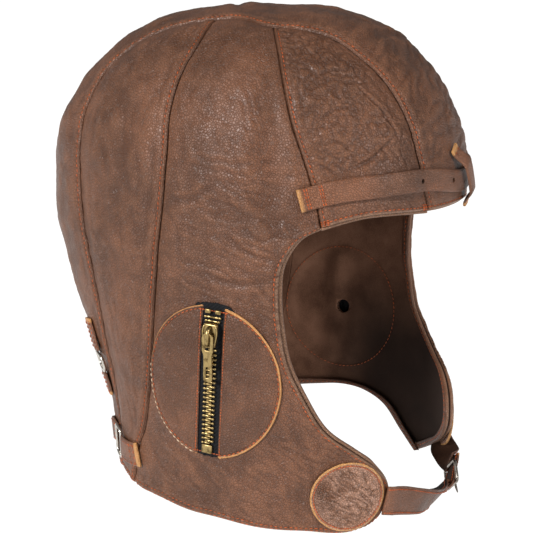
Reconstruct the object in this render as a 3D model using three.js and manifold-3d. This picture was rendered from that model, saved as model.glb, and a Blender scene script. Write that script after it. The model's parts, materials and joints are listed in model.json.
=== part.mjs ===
// Leather flying helmet with a zipped ear patch on each side, in millimetres.
// +Z is up, the face looks along -Y and the wearer's right is at -X.
// The origin is the top of the head hollow, where the lining rests on the crown of a head.
import * as THREE from 'three';
import { mergeVertices } from 'three/addons/utils/BufferGeometryUtils.js';
import Module from 'manifold-3d';

const wasm = await Module();
wasm.setup();

// Driving dimensions of the shell
const HEIGHT = 262;
const HALF_WIDTH = 86;
const FRONT_REACH = 103.5;
const BACK_REACH = 120.5;
const ROUNDNESS = 2.15;
const LEATHER = 1.5;
const LINING = 1.2;
const CLEAR = 0.3;
const REST = 0.75;

// Relief of the leather
const SEAM_DIP = 0.9;
const SEAM_DIP_WIDTH = 7;
const PANEL_PUFF = 1.2;
const HOLLOW_DEPTH = 2.2;
const HOLLOW_WIDTH = 9;
const CREASE_DEPTH = 0.8;
const CREASE_WIDTH = 5;

// Ear patches and their zips
const EAR_RADIUS = 39.5;
const EAR_HALF_WIDTH = 35.2;
const EAR_TILT = 4.5;
const EAR_HOLE = 8;
const TAPE_WIDTH = 10.6;
const TAPE = 0.8;
const TEETH_WIDTH = 5;
const TEETH_HEIGHT = 1.6;
const TEETH_PITCH = 2.4;
const TEETH_VALLEY = 0.8;
const ZIP_MARGIN = 3;
const SLIDER_WIDTH = 8.8;
const SLIDER_LENGTH = 12;
const SLIDER_THICK = 3;
const SLIDER_FROM_TOP = 14;
const ARCH_WIDTH = 2;
const ARCH_LENGTH = 9;
const ARCH_RISE = 3.6;
const ARCH_BAR = 1.1;
const PULL_LENGTH = 24;
const PULL_WIDTH = 6;
const PULL_THICK = 1;
const PULL_SLOT_LENGTH = 6;
const PULL_SLOT_WIDTH = 1.8;
const PULL_END = 2;
const PULL_WAIST = 0.72;
const PULL_TIP = 0.4;
const EYE_PLAY = 0.8;
const EYE_REACH = 2.2;
const SLIDER_SHOULDER = 0.1;
const SLIDER_HEAD = 0.8;
const SLIDER_LAP = 1;
const ARCH_BITE = 0.5;

// Straps, patches and buckles
const BROW_STRAP_WIDTH = 11;
const BROW_STRAP_HOLE = 2;
const BROW_LOOP_WIDTH = 7;
const STRAP = 1.6;
const CHIN_STRAP_WIDTH = 15;
const CHIN_PATCH_RADIUS = 18.5;
const BUCKLE_WIRE = 1.8;
const BUCKLE_OPENING = 10;
const BUCKLE_SIDE_PLAY = 1;
const BUCKLE_TURN = 35;
const FAR_STRAP_LENGTH = 10;
const PRONG_WIRE = 1.2;
const NAPE_STRAP_WIDTH = 13;
const NAPE_TURN = 11;
const RETAINER_WIDTH = 10;
const RETAINER_RISE = 4;
const RING_OPENING = 7;
const PRONG_ROOT = 1.6;
const PRONG_TIP = 4.2;
const STRAP_TAIL = 4.5;
const LOOP_STAND = 1.5;
const LOOP_RISE = { from: 0.05, to: 0.32 };
const LOOP_FALL = { from: 0.76, to: 0.97 };
const RETAINER_SLOPE = 0.7;

// Where the chin strap leaves its patch, as shares of its width, and how it falls from there
const CHIN_ROOT = [0, 0.2, 0.45];
const CHIN_ROOT_FALL = 0.24;

// Ends of the outlines of round patches, as angles short of a quarter turn
const EAR_BLUNT = 0.16;
const CHIN_BLUNT = 0.2;

// Section of the head form: shares of the height, half width, front reach and back reach
const SECTIONS = [
  { depth: 0.000, half: 0.00, front: 0.00, back: 0.00 },
  { depth: 0.015, half: 0.35, front: 0.385, back: 0.35 },
  { depth: 0.034, half: 0.515, front: 0.535, back: 0.50 },
  { depth: 0.057, half: 0.645, front: 0.645, back: 0.60 },
  { depth: 0.085, half: 0.74, front: 0.725, back: 0.69 },
  { depth: 0.122, half: 0.825, front: 0.81, back: 0.79 },
  { depth: 0.172, half: 0.90, front: 0.90, back: 0.88 },
  { depth: 0.229, half: 0.957, front: 0.962, back: 0.955 },
  { depth: 0.300, half: 0.99, front: 0.995, back: 0.99 },
  { depth: 0.380, half: 1.00, front: 1.00, back: 1.00 },
  { depth: 0.450, half: 1.01, front: 1.00, back: 0.975 },
  { depth: 0.573, half: 1.01, front: 0.995, back: 0.885 },
  { depth: 0.649, half: 1.00, front: 0.99, back: 0.82 },
  { depth: 0.725, half: 0.985, front: 0.985, back: 0.745 },
  { depth: 0.820, half: 0.965, front: 0.975, back: 0.695 },
  { depth: 0.954, half: 0.94, front: 0.955, back: 0.67 },
  { depth: 1.200, half: 0.91, front: 0.93, back: 0.66 },
];

// Seams and edges: shares of the half width, of the reach (front negative) and of the height
const CROWN_SEAM_FRONT = [
  { side: 0.490, reach: -0.203, depth: 0.033 },
  { side: 0.450, reach: -0.310, depth: 0.036 },
  { side: 0.425, reach: -0.464, depth: 0.050 },
  { side: 0.420, reach: -0.614, depth: 0.082 },
  { side: 0.402, reach: -0.735, depth: 0.120 },
  { side: 0.400, reach: -0.831, depth: 0.176 },
  { side: 0.400, reach: -0.899, depth: 0.245 },
  { side: 0.378, reach: -0.940, depth: 0.312 },
  { side: 0.335, reach: -0.961, depth: 0.370 },
];
const CROWN_SEAM_TOP = [
  { side: 0.420, reach: 0.116, depth: 0.023 },
  { side: 0.405, reach: 0.040, depth: 0.020 },
  { side: 0.430, reach: -0.040, depth: 0.022 },
  { side: 0.470, reach: -0.120, depth: 0.028 },
  { side: 0.490, reach: -0.203, depth: 0.033 },
];
const CROWN_SEAM_BACK = [
  { side: 0.420, reach: 0.116, depth: 0.023 },
  { side: 0.460, reach: 0.340, depth: 0.060 },
  { side: 0.560, reach: 0.540, depth: 0.120 },
  { side: 0.670, reach: 0.625, depth: 0.185 },
  { side: 0.745, reach: 0.640, depth: 0.250 },
  { side: 0.790, reach: 0.637, depth: 0.325 },
  { side: 0.815, reach: 0.618, depth: 0.410 },
  { side: 0.828, reach: 0.580, depth: 0.495 },
  { side: 0.815, reach: 0.540, depth: 0.590 },
  { side: 0.750, reach: 0.525, depth: 0.700 },
  { side: 0.670, reach: 0.520, depth: 0.840 },
  { side: 0.600, reach: 0.545, depth: 0.945 },
];
const FRONT_SEAM = [
  { side: 0.490, reach: -0.203, depth: 0.033 },
  { side: 0.628, reach: -0.275, depth: 0.065 },
  { side: 0.767, reach: -0.360, depth: 0.130 },
  { side: 0.837, reach: -0.430, depth: 0.202 },
  { side: 0.860, reach: -0.502, depth: 0.267 },
  { side: 0.855, reach: -0.560, depth: 0.336 },
  { side: 0.840, reach: -0.585, depth: 0.387 },
];
const REAR_SEAM = [
  { side: 0.420, reach: 0.116, depth: 0.023 },
  { side: 0.674, reach: 0.104, depth: 0.065 },
  { side: 0.779, reach: 0.124, depth: 0.103 },
  { side: 0.895, reach: 0.145, depth: 0.179 },
  { side: 0.971, reach: 0.141, depth: 0.275 },
  { side: 1.000, reach: 0.183, depth: 0.458 },
  { side: 0.983, reach: 0.216, depth: 0.611 },
  { side: 0.953, reach: 0.240, depth: 0.691 },
  { side: 0.895, reach: 0.299, depth: 0.809 },
];
const BROW_EDGE = [
  { side: 0.840, reach: -0.585, depth: 0.387 },
  { side: 0.795, reach: -0.657, depth: 0.378 },
  { side: 0.700, reach: -0.754, depth: 0.368 },
  { side: 0.570, reach: -0.850, depth: 0.366 },
  { side: 0.335, reach: -0.961, depth: 0.370 },
];

const NAPE_MIDDLE = { side: 0.000, reach: 0.670, depth: 0.927 };

// Edges that differ from side to side, because the left flap is drawn up and forward by its buckle
const EDGES = {
  right: {
    seamEnd: [{ side: 0.845, reach: 0.350, depth: 0.875 }, { side: 0.802, reach: 0.382, depth: 0.943 }],
    face: [
      { side: 0.840, reach: -0.585, depth: 0.387 },
      { side: 0.895, reach: -0.493, depth: 0.408 },
      { side: 0.936, reach: -0.420, depth: 0.458 },
      { side: 0.942, reach: -0.406, depth: 0.515 },
      { side: 0.936, reach: -0.415, depth: 0.573 },
      { side: 0.919, reach: -0.444, depth: 0.641 },
      { side: 0.872, reach: -0.512, depth: 0.710 },
      { side: 0.802, reach: -0.589, depth: 0.771 },
      { side: 0.698, reach: -0.705, depth: 0.817 },
      { side: 0.605, reach: -0.783, depth: 0.851 },
      { side: 0.523, reach: -0.836, depth: 0.893 },
      { side: 0.529, reach: -0.826, depth: 0.938 },
      { side: 0.590, reach: -0.770, depth: 0.966 },
    ],
    hem: [
      { side: 0.802, reach: 0.382, depth: 0.943 },
      { side: 0.901, reach: 0.224, depth: 0.950 },
      { side: 0.942, reach: 0.025, depth: 0.962 },
      { side: 0.930, reach: -0.164, depth: 0.968 },
      { side: 0.826, reach: -0.502, depth: 0.979 },
      { side: 0.674, reach: -0.686, depth: 0.977 },
      { side: 0.590, reach: -0.770, depth: 0.966 },
    ],
    napeSide: [
      { side: 0.600, reach: 0.545, depth: 0.945 },
      { side: 0.709, reach: 0.473, depth: 0.941 },
      { side: 0.802, reach: 0.382, depth: 0.943 },
    ],
  },
  left: {
    seamEnd: [{ side: 0.855, reach: 0.335, depth: 0.860 }, { side: 0.830, reach: 0.360, depth: 0.905 }],
    face: [
      { side: 0.840, reach: -0.585, depth: 0.387 },
      { side: 0.875, reach: -0.530, depth: 0.430 },
      { side: 0.890, reach: -0.512, depth: 0.492 },
      { side: 0.893, reach: -0.512, depth: 0.553 },
      { side: 0.872, reach: -0.531, depth: 0.603 },
      { side: 0.849, reach: -0.570, depth: 0.656 },
      { side: 0.785, reach: -0.640, depth: 0.700 },
      { side: 0.698, reach: -0.725, depth: 0.740 },
      { side: 0.570, reach: -0.821, depth: 0.775 },
      { side: 0.465, reach: -0.874, depth: 0.813 },
      { side: 0.419, reach: -0.889, depth: 0.855 },
      { side: 0.512, reach: -0.831, depth: 0.905 },
      { side: 0.628, reach: -0.744, depth: 0.939 },
      { side: 0.735, reach: -0.628, depth: 0.968 },
    ],
    hem: [
      { side: 0.830, reach: 0.360, depth: 0.905 },
      { side: 0.925, reach: 0.190, depth: 0.878 },
      { side: 0.953, reach: -0.008, depth: 0.863 },
      { side: 0.953, reach: -0.145, depth: 0.863 },
      { side: 0.930, reach: -0.261, depth: 0.868 },
      { side: 0.884, reach: -0.386, depth: 0.886 },
      { side: 0.814, reach: -0.512, depth: 0.931 },
      { side: 0.735, reach: -0.628, depth: 0.968 },
    ],
    napeSide: [
      { side: 0.600, reach: 0.545, depth: 0.930 },
      { side: 0.720, reach: 0.465, depth: 0.917 },
      { side: 0.830, reach: 0.360, depth: 0.905 },
    ],
  },
};

// Broad hollows and creases of the leather: both ends, width and depth, all as shares
const HOLLOWS = [
  { side: -0.87, reach: -0.30, depth: 0.18, side2: -0.94, reach2: -0.40, depth2: 0.39, wide: 1, deep: 1.0 },
  { side: 0.87, reach: -0.30, depth: 0.18, side2: 0.94, reach2: -0.40, depth2: 0.39, wide: 1, deep: 0.9 },
  { side: -0.80, reach: 0.30, depth: 0.16, side2: -0.93, reach2: 0.38, depth2: 0.38, wide: 0.9, deep: 0.4 },
  { side: 0.80, reach: 0.30, depth: 0.16, side2: 0.93, reach2: 0.38, depth2: 0.38, wide: 0.9, deep: 0.4 },
];
const CREASES = [
  { side: -0.95, reach: -0.37, depth: 0.48, side2: -1.00, reach2: -0.03, depth2: 0.47, wide: 1, deep: 0.4 },
  { side: -0.60, reach: -0.70, depth: 0.20, side2: -0.78, reach2: -0.50, depth2: 0.26, wide: 0.8, deep: 0.3 },
  { side: -0.45, reach: -0.66, depth: 0.11, side2: -0.62, reach2: -0.68, depth2: 0.22, wide: 0.8, deep: 0.3 },
  { side: 0.62, reach: -0.70, depth: 0.18, side2: 0.78, reach2: -0.48, depth2: 0.27, wide: 0.8, deep: 0.3 },
];

// Places of patches, straps and rings on the form, as shares; an edge is the way to a strap's upper edge
const EAR_PLACE = { side: 0.99, reach: -0.080, depth: 0.686 };
const BROW_STRAP_ROWS = [
  { side: 0.888, reach: -0.489, depth: 0.337 },
  { side: 0.781, reach: -0.652, depth: 0.319 },
  { side: 0.674, reach: -0.763, depth: 0.314 },
  { side: 0.371, reach: -0.938, depth: 0.311 },
  { side: 0.000, reach: -1.000, depth: 0.325 },
];
const BROW_HOLES = [{ side: 0.405, depth: 0.311 }, { side: 0.150, depth: 0.318 }];
const BROW_LOOP_ROWS = [
  { side: -0.100, reach: -0.980, depth: 0.262 },
  { side: 0.000, reach: -1.000, depth: 0.310 },
  { side: 0.080, reach: -1.000, depth: 0.374 },
];
const CHIN_PLACES = {
  right: { side: 0.705, reach: -0.680, depth: 0.905 },
  left: { side: 0.640, reach: -0.745, depth: 0.868 },
};
const CHIN_STRAP_ROWS = [
  { side: -0.430, reach: -0.876, depth: 0.934, edge: [0.05, -0.05, 1] },
  { side: -0.279, reach: -0.922, depth: 0.952, edge: [0, -0.3, 1] },
  { side: -0.093, reach: -0.932, depth: 0.972, edge: [0, -0.55, 0.9] },
  { side: 0.093, reach: -0.908, depth: 0.988, edge: [-0.1, -0.7, 0.8] },
  { side: 0.267, reach: -0.872, depth: 0.998, edge: [-0.25, -0.7, 0.7] },
  { side: 0.400, reach: -0.835, depth: 1.000, edge: [-0.45, -0.66, 0.6] },
];
const NAPE_ROWS = [
  { side: 0.860, reach: 0.322, depth: 0.870 },
  { side: 0.745, reach: 0.455, depth: 0.878 },
  { side: 0.465, reach: 0.605, depth: 0.872 },
  { side: 0.000, reach: 0.670, depth: 0.866 },
];
const NAPE_RING = { side: 0.700, reach: 0.500, depth: 0.876 };
const RETAINER_ROWS = [
  { side: 0.690, reach: 0.645, depth: 0.622 },
  { side: 0.655, reach: 0.590, depth: 0.709 },
  { side: 0.620, reach: 0.570, depth: 0.780 },
];

// Number of segments along each stretch of the shell, the patches and the straps
const PANEL_SEGMENTS = { front: 7, top: 8, back: 18, brow: 5, nape: 3, across: 6 };
const PATCH_SEGMENTS = { earAcross: 5, earUp: 6, tape: 11, chinAcross: 8, chinUp: 4 };
const STRAP_SEGMENTS = { brow: 24, loop: 14, chin: 34, napeTab: 3, nape: 20, retainer: 6 };
const DRILL_LENGTH = 14;
const DRILL_SEGMENTS = 10;
const WIRE_SEGMENTS = 6;

const CENTRE = new THREE.Vector3(0, 0.04 * FRONT_REACH, -0.4 * HEIGHT);
const SEAT = LEATHER + CLEAR + LINING;
const UP = new THREE.Vector3(0, 0, 1);

// Points of a seam closer than this are one point
const SAME = 0.02;

// Monotone cubic interpolation of squared reaches, so that the crown closes round
function monotone(xs, ys) {
  const n = xs.length;
  const slope = [];
  for (let i = 0; i < n - 1; i += 1) {
    slope.push((ys[i + 1] - ys[i]) / (xs[i + 1] - xs[i]));
  }
  const tangent = [slope[0]];
  for (let i = 1; i < n - 1; i += 1) {
    const same = slope[i - 1] * slope[i] > 0;
    const h0 = xs[i] - xs[i - 1];
    const h1 = xs[i + 1] - xs[i];
    const mean = 3 * (h0 + h1) / ((2 * h1 + h0) / slope[i - 1] + (h1 + 2 * h0) / slope[i]);
    tangent.push(same ? mean : 0);
  }
  tangent.push(slope[n - 2]);
  return (x) => {
    let i = 0;
    while (i < n - 2 && x > xs[i + 1]) i += 1;
    const h = xs[i + 1] - xs[i];
    const t = (x - xs[i]) / h;
    const a = (1 + 2 * t) * (1 - t) ** 2 * ys[i] + t * t * (3 - 2 * t) * ys[i + 1];
    return a + h * t * (1 - t) ** 2 * tangent[i] + h * t * t * (t - 1) * tangent[i + 1];
  };
}

const depths = SECTIONS.map((row) => row.depth);
const squaresOf = (key) => monotone(depths, SECTIONS.map((row) => row[key] ** 2));
const squares = ['half', 'front', 'back'].map(squaresOf);
const DEEPEST = depths[depths.length - 1];

// Below zero inside the head form, above zero outside
function outside(p) {
  if (p.z > -1e-6) return 1;
  const depth = Math.min(-p.z / HEIGHT, DEEPEST);
  const half = HALF_WIDTH * Math.sqrt(Math.max(squares[0](depth), 1e-9));
  const reach = p.y < 0 ? FRONT_REACH : BACK_REACH;
  const along = reach * Math.sqrt(Math.max(squares[p.y < 0 ? 1 : 2](depth), 1e-9));
  return (Math.abs(p.x) / half) ** ROUNDNESS + (Math.abs(p.y) / along) ** ROUNDNESS - 1;
}

function crossing(from, direction, low, high) {
  const p = new THREE.Vector3();
  for (let i = 0; i < 30; i += 1) {
    const mid = (low + high) / 2;
    p.copy(from).addScaledVector(direction, mid);
    if (outside(p) > 0) high = mid;
    else low = mid;
  }
  return p.clone();
}

// Nearest point of the form on the ray from the centre through a point
function onForm(point) {
  const direction = point.clone().sub(CENTRE).normalize();
  return crossing(CENTRE, direction, 0, BACK_REACH + HEIGHT);
}

function formNormal(p) {
  const step = 0.05;
  const rise = (x, y, z) => outside(new THREE.Vector3(p.x + x, p.y + y, Math.min(p.z + z, -2e-6)));
  const n = new THREE.Vector3(
    rise(step, 0, 0) - rise(-step, 0, 0),
    rise(0, step, 0) - rise(0, -step, 0),
    rise(0, 0, step) - rise(0, 0, -step),
  );
  return p.z > -0.4 ? UP.clone() : n.normalize();
}

function place(row, mirror = 1) {
  const reach = row.reach < 0 ? FRONT_REACH : BACK_REACH;
  return new THREE.Vector3(row.side * HALF_WIDTH * mirror, row.reach * reach, -row.depth * HEIGHT);
}

// A seam or edge as points at equal steps along a curve through its rows
function traceThrough(places, count) {
  const curve = new THREE.CatmullRomCurve3(places, false, 'centripetal');
  return curve.getSpacedPoints(count).map(onForm);
}

function trace(rows, count, mirror = 1) {
  return traceThrough(rows.map((row) => place(row, mirror)), count);
}

// Relief of the leather over the form
function distanceTo(p, a, b) {
  const along = b.clone().sub(a);
  const t = THREE.MathUtils.clamp(p.clone().sub(a).dot(along) / along.lengthSq(), 0, 1);
  return { gap: p.distanceTo(a.clone().addScaledVector(along, t)), share: t };
}

const seamLines = [];
for (const mirror of [-1, 1]) {
  for (const rows of [CROWN_SEAM_FRONT, CROWN_SEAM_TOP, CROWN_SEAM_BACK, FRONT_SEAM, REAR_SEAM]) {
    seamLines.push(trace(rows, 14, mirror));
  }
}
const foldsOf = (rows, width, depth) => rows.map((row) => ({
  from: onForm(place(row)),
  to: onForm(place({ side: row.side2, reach: row.reach2, depth: row.depth2 })),
  wide: row.wide * width,
  deep: row.deep * depth,
}));
const folds = [
  ...foldsOf(HOLLOWS, HOLLOW_WIDTH, HOLLOW_DEPTH),
  ...foldsOf(CREASES, CREASE_WIDTH, CREASE_DEPTH),
];

function relief(p) {
  let near = Infinity;
  for (const line of seamLines) {
    for (let i = 0; i < line.length - 1; i += 1) {
      near = Math.min(near, distanceTo(p, line[i], line[i + 1]).gap);
    }
  }
  const puff = PANEL_PUFF * (1 - Math.exp(-near / (2 * SEAM_DIP_WIDTH)));
  let rise = puff - SEAM_DIP * Math.exp(-((near / SEAM_DIP_WIDTH) ** 2));
  for (const fold of folds) {
    const { gap, share } = distanceTo(p, fold.from, fold.to);
    rise -= fold.deep * Math.exp(-((gap / fold.wide) ** 2)) * (0.4 + 0.6 * Math.sin(Math.PI * share));
  }
  const apex = Math.exp(-((p.x ** 2 + p.y ** 2) / 30 ** 2)) * Math.exp(p.z / 20);
  return rise * (1 - apex);
}

// A surface point with its outward direction, its relief included
function skinPoint(nominal) {
  const normal = formNormal(nominal);
  return { point: nominal.clone().addScaledVector(normal, relief(nominal)), normal };
}

// Turns a list of triangles into one geometry with shared points merged and faces outward
function solid(points, faces) {
  const flat = [];
  for (const face of faces) {
    for (const corner of face) flat.push(points[corner].x, points[corner].y, points[corner].z);
  }
  let geometry = new THREE.BufferGeometry();
  geometry.setAttribute('position', new THREE.Float32BufferAttribute(flat, 3));
  geometry = mergeVertices(geometry, 1e-3);
  const index = Array.from(geometry.index.array);
  const kept = [];
  for (let i = 0; i < index.length; i += 3) {
    const [a, b, c] = index.slice(i, i + 3);
    if (a !== b && b !== c && a !== c) kept.push(a, b, c);
  }
  geometry.setIndex(kept);
  if (volume(geometry) < 0) {
    for (let i = 0; i < kept.length; i += 3) [kept[i], kept[i + 1]] = [kept[i + 1], kept[i]];
    geometry.setIndex(kept);
  }
  return geometry;
}

function volume(geometry) {
  const at = geometry.attributes.position;
  const index = geometry.index.array;
  const [a, b, c] = [new THREE.Vector3(), new THREE.Vector3(), new THREE.Vector3()];
  let sum = 0;
  for (let i = 0; i < index.length; i += 3) {
    a.fromBufferAttribute(at, index[i]);
    b.fromBufferAttribute(at, index[i + 1]);
    c.fromBufferAttribute(at, index[i + 2]);
    sum += a.dot(b.cross(c)) / 6;
  }
  return sum;
}

// Closed solid through rings of points, capped at both ends or joined end to end
function loft(rings, closed = false) {
  const size = rings[0].length;
  const points = rings.flat();
  const faces = [];
  const last = closed ? rings.length : rings.length - 1;
  for (let i = 0; i < last; i += 1) {
    const next = (i + 1) % rings.length;
    for (let j = 0; j < size; j += 1) {
      const k = (j + 1) % size;
      faces.push([i * size + j, i * size + k, next * size + k]);
      faces.push([i * size + j, next * size + k, next * size + j]);
    }
  }
  // Each end cap steps from the outer side to the inner, so a curved strip stays in its own outline
  if (!closed) {
    const end = (rings.length - 1) * size;
    for (let j = 0; j < size / 2 - 1; j += 1) {
      const k = size - 1 - j;
      faces.push([j, k, k - 1], [j, k - 1, j + 1]);
      faces.push([end + j, end + j + 1, end + k - 1], [end + j, end + k - 1, end + k]);
    }
  }
  return solid(points, faces);
}

// Wall between two offsets of patches of skin points, with its rims closed
function wall(patches, outer, inner) {
  const points = [];
  const faces = [];
  const seen = [];
  const number = (node) => {
    const known = seen.findIndex((point) => point.distanceToSquared(node.point) < SAME ** 2);
    if (known >= 0) return known;
    seen.push(node.point);
    points.push(node.point.clone().addScaledVector(node.normal, outer));
    points.push(node.point.clone().addScaledVector(node.normal, inner));
    return seen.length - 1;
  };
  const edges = new Map();
  const triangle = (a, b, c) => {
    if (a === b || b === c || a === c) return;
    faces.push([2 * a, 2 * b, 2 * c], [2 * a + 1, 2 * c + 1, 2 * b + 1]);
    for (const [from, to] of [[a, b], [b, c], [c, a]]) {
      if (edges.has(`${to},${from}`)) edges.delete(`${to},${from}`);
      else edges.set(`${from},${to}`, [from, to]);
    }
  };
  for (const { grid, turned } of patches) {
    for (let i = 0; i < grid.length - 1; i += 1) {
      for (let j = 0; j < grid[i].length - 1; j += 1) {
        const [a, b, c, d] = [grid[i][j], grid[i][j + 1], grid[i + 1][j + 1], grid[i + 1][j]].map(number);
        if (turned) {
          triangle(a, c, b);
          triangle(a, d, c);
        } else {
          triangle(a, b, c);
          triangle(a, c, d);
        }
      }
    }
  }
  for (const [from, to] of edges.values()) {
    faces.push([2 * to, 2 * from, 2 * from + 1], [2 * to, 2 * from + 1, 2 * to + 1]);
  }
  return solid(points, faces);
}

// Grid over four borders: rows run from the first border to the last, each from left to right
function coons(first, last, left, right) {
  const rows = left.length - 1;
  const columns = first.length - 1;
  const grid = [];
  for (let i = 0; i <= rows; i += 1) {
    const v = i / rows;
    const line = [];
    for (let j = 0; j <= columns; j += 1) {
      const u = j / columns;
      const p = new THREE.Vector3();
      p.addScaledVector(first[j], 1 - v).addScaledVector(last[j], v);
      p.addScaledVector(left[i], 1 - u).addScaledVector(right[i], u);
      p.addScaledVector(first[0], -(1 - u) * (1 - v)).addScaledVector(first[columns], -u * (1 - v));
      p.addScaledVector(last[0], -(1 - u) * v).addScaledVector(last[columns], -u * v);
      line.push(onForm(p));
    }
    grid.push(line);
  }
  return grid;
}

// Draws the borders of a grid inward, so that a seam gap opens between neighbouring panels
function drawnIn(grid, inset) {
  const rows = grid.length - 1;
  const columns = grid[0].length - 1;
  const moved = grid.map((line) => line.map((p) => p.clone()));
  const pointed = grid[0][0].distanceTo(grid[0][columns]) < 1e-6;
  const inward = (p, before, after, inner) => {
    const along = after.clone().sub(before);
    const aside = formNormal(p).cross(along).normalize();
    return aside.multiplyScalar(Math.sign(aside.dot(inner.clone().sub(p))) || 1);
  };
  for (let i = 0; i <= rows; i += 1) {
    for (let j = 0; j <= columns; j += 1) {
      const p = grid[i][j];
      const pulls = [];
      const [up, down] = [Math.max(i - 1, 0), Math.min(i + 1, rows)];
      const [back, on] = [Math.max(j - 1, 0), Math.min(j + 1, columns)];
      const middle = Math.floor(columns / 2);
      if (j === 0 || (pointed && i === 0)) pulls.push(inward(p, grid[up][0], grid[down][0], grid[down][1]));
      if (j === columns || (pointed && i === 0)) {
        pulls.push(inward(p, grid[up][columns], grid[down][columns], grid[down][columns - 1]));
      }
      if (i === 0 && !pointed) pulls.push(inward(p, grid[0][back], grid[0][on], grid[1][middle]));
      if (i === rows) pulls.push(inward(p, grid[rows][back], grid[rows][on], grid[rows - 1][middle]));
      const pull = pulls.reduce((sum, q) => sum.add(q), new THREE.Vector3());
      if (pulls.length === 2) pull.divideScalar(Math.max(1 + pulls[0].dot(pulls[1]), 0.35));
      moved[i][j].addScaledVector(pull, inset);
    }
  }
  return moved.map((line) => line.map(onForm));
}

// Grids of the panels of one side
function sideGrids(side) {
  const mirror = side === 'right' ? -1 : 1;
  const edge = EDGES[side];
  const rearRows = [...REAR_SEAM, ...edge.seamEnd];
  const backRows = [...CROWN_SEAM_BACK.slice(0, -1), edge.napeSide[0]];
  const frontSeam = trace(FRONT_SEAM, PANEL_SEGMENTS.front, mirror);
  const face = trace(edge.face, PANEL_SEGMENTS.back - PANEL_SEGMENTS.front, mirror);
  const rearSeam = trace(rearRows, PANEL_SEGMENTS.back, mirror);
  const crownFront = trace(CROWN_SEAM_FRONT, PANEL_SEGMENTS.front, mirror);
  const crownTop = trace(CROWN_SEAM_TOP, PANEL_SEGMENTS.top, mirror);
  const crownBack = trace(backRows, PANEL_SEGMENTS.back, mirror);
  const brow = trace(BROW_EDGE, PANEL_SEGMENTS.brow, mirror);
  const hem = trace(edge.hem, PANEL_SEGMENTS.top, mirror);
  const nape = trace(edge.napeSide, PANEL_SEGMENTS.nape, mirror);
  const frontTip = brow.map(() => frontSeam[0].clone());
  const rearTip = nape.map(() => rearSeam[0].clone());
  const frontBorder = [...frontSeam, ...face.slice(1)];
  return {
    front: coons(frontTip, brow, frontSeam, crownFront),
    side: coons(crownTop, hem, rearSeam, frontBorder),
    rear: coons(rearTip, nape, crownBack, rearSeam),
    crown: [...crownFront.slice().reverse(), ...crownTop.slice(0, -1).reverse(), ...crownBack.slice(1)],
  };
}

const right = sideGrids('right');
const left = sideGrids('left');

function crownGrid() {
  const front = [];
  for (let j = 0; j <= PANEL_SEGMENTS.across; j += 1) {
    const t = j / PANEL_SEGMENTS.across;
    front.push(onForm(right.crown[0].clone().lerp(left.crown[0], t)));
  }
  const rows = [EDGES.right.napeSide[0], NAPE_MIDDLE, EDGES.left.napeSide[0]];
  const back = traceThrough(rows.map((row, i) => place(row, i - 1)), PANEL_SEGMENTS.across);
  return coons(front, back, right.crown, left.crown);
}

const crown = crownGrid();

const dressed = (grid) => grid.map((line) => line.map(skinPoint));
const panelOf = (grid, turned) => {
  return wall([{ grid: dressed(drawnIn(grid, CLEAR / 2)), turned }], 0, -LEATHER);
};

// A local flat frame laid on the form: s forward or across, t up, lift away from the leather
function chart(row, mirror, tilt = 0) {
  const origin = onForm(place(row, mirror));
  const n = formNormal(origin);
  const across = UP.clone().cross(n).normalize().multiplyScalar(-mirror);
  const upward = n.clone().cross(across).multiplyScalar(-mirror).normalize();
  if (upward.z < 0) upward.negate();
  const lean = tilt * Math.PI / 180;
  const s = across.clone().multiplyScalar(Math.cos(lean)).addScaledVector(upward, -Math.sin(lean));
  const t = upward.clone().multiplyScalar(Math.cos(lean)).addScaledVector(across, Math.sin(lean));
  return { origin, n, s, t };
}

// The bare form at a place of a chart, and the leather there lifted by a distance
function formOnChart(frame, s, t) {
  const from = frame.origin.clone().addScaledVector(frame.s, s).addScaledVector(frame.t, t);
  return crossing(from, frame.n, -HALF_WIDTH / 2, HALF_WIDTH / 2);
}

function onChart(frame, s, t, lift) {
  const { point, normal } = skinPoint(formOnChart(frame, s, t));
  return point.addScaledVector(normal, lift);
}

// Slab of an outline given as columns, each with its own lowest and highest place
function slab(frame, columns, rows, bottom, thick) {
  const layer = (lift) => columns.map(({ s, low, high }) => {
    const line = [];
    for (let i = 0; i <= rows; i += 1) line.push(onChart(frame, s, low + (high - low) * i / rows, lift));
    return line;
  });
  const under = layer(bottom);
  const over = layer(bottom + thick);
  const rings = under.map((line, i) => [...line, ...over[i].slice().reverse()]);
  return loft(rings);
}

const earFrames = { right: chart(EAR_PLACE, -1, EAR_TILT), left: chart(EAR_PLACE, 1, EAR_TILT) };

// Half oval of leather beside the zip: a little narrower than high, and cut by the tape
function earHalf(side, forward) {
  const inner = TAPE_WIDTH / 2 + CLEAR;
  const columns = [];
  const steps = PATCH_SEGMENTS.earAcross;
  const start = Math.asin(inner / EAR_HALF_WIDTH);
  const end = Math.PI / 2 - EAR_BLUNT;
  for (let i = 0; i <= steps; i += 1) {
    const angle = start + (end - start) * i / steps;
    const s = EAR_HALF_WIDTH * Math.sin(angle) * (forward ? 1 : -1);
    const high = EAR_RADIUS * Math.cos(angle);
    columns.push({ s, low: -high, high });
  }
  return slab(earFrames[side], columns, PATCH_SEGMENTS.earUp, REST, LEATHER);
}

function zipTape(side) {
  const half = TAPE_WIDTH / 2;
  const high = EAR_RADIUS + 1;
  const columns = [-1, -0.4, 0.4, 1].map((share) => ({ s: share * half, low: -high, high }));
  return slab(earFrames[side], columns, PATCH_SEGMENTS.tape, REST, TAPE);
}

const TEETH_BASE = REST + TAPE + CLEAR;
const SLIDER_AT = EAR_RADIUS - SLIDER_FROM_TOP;

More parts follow.
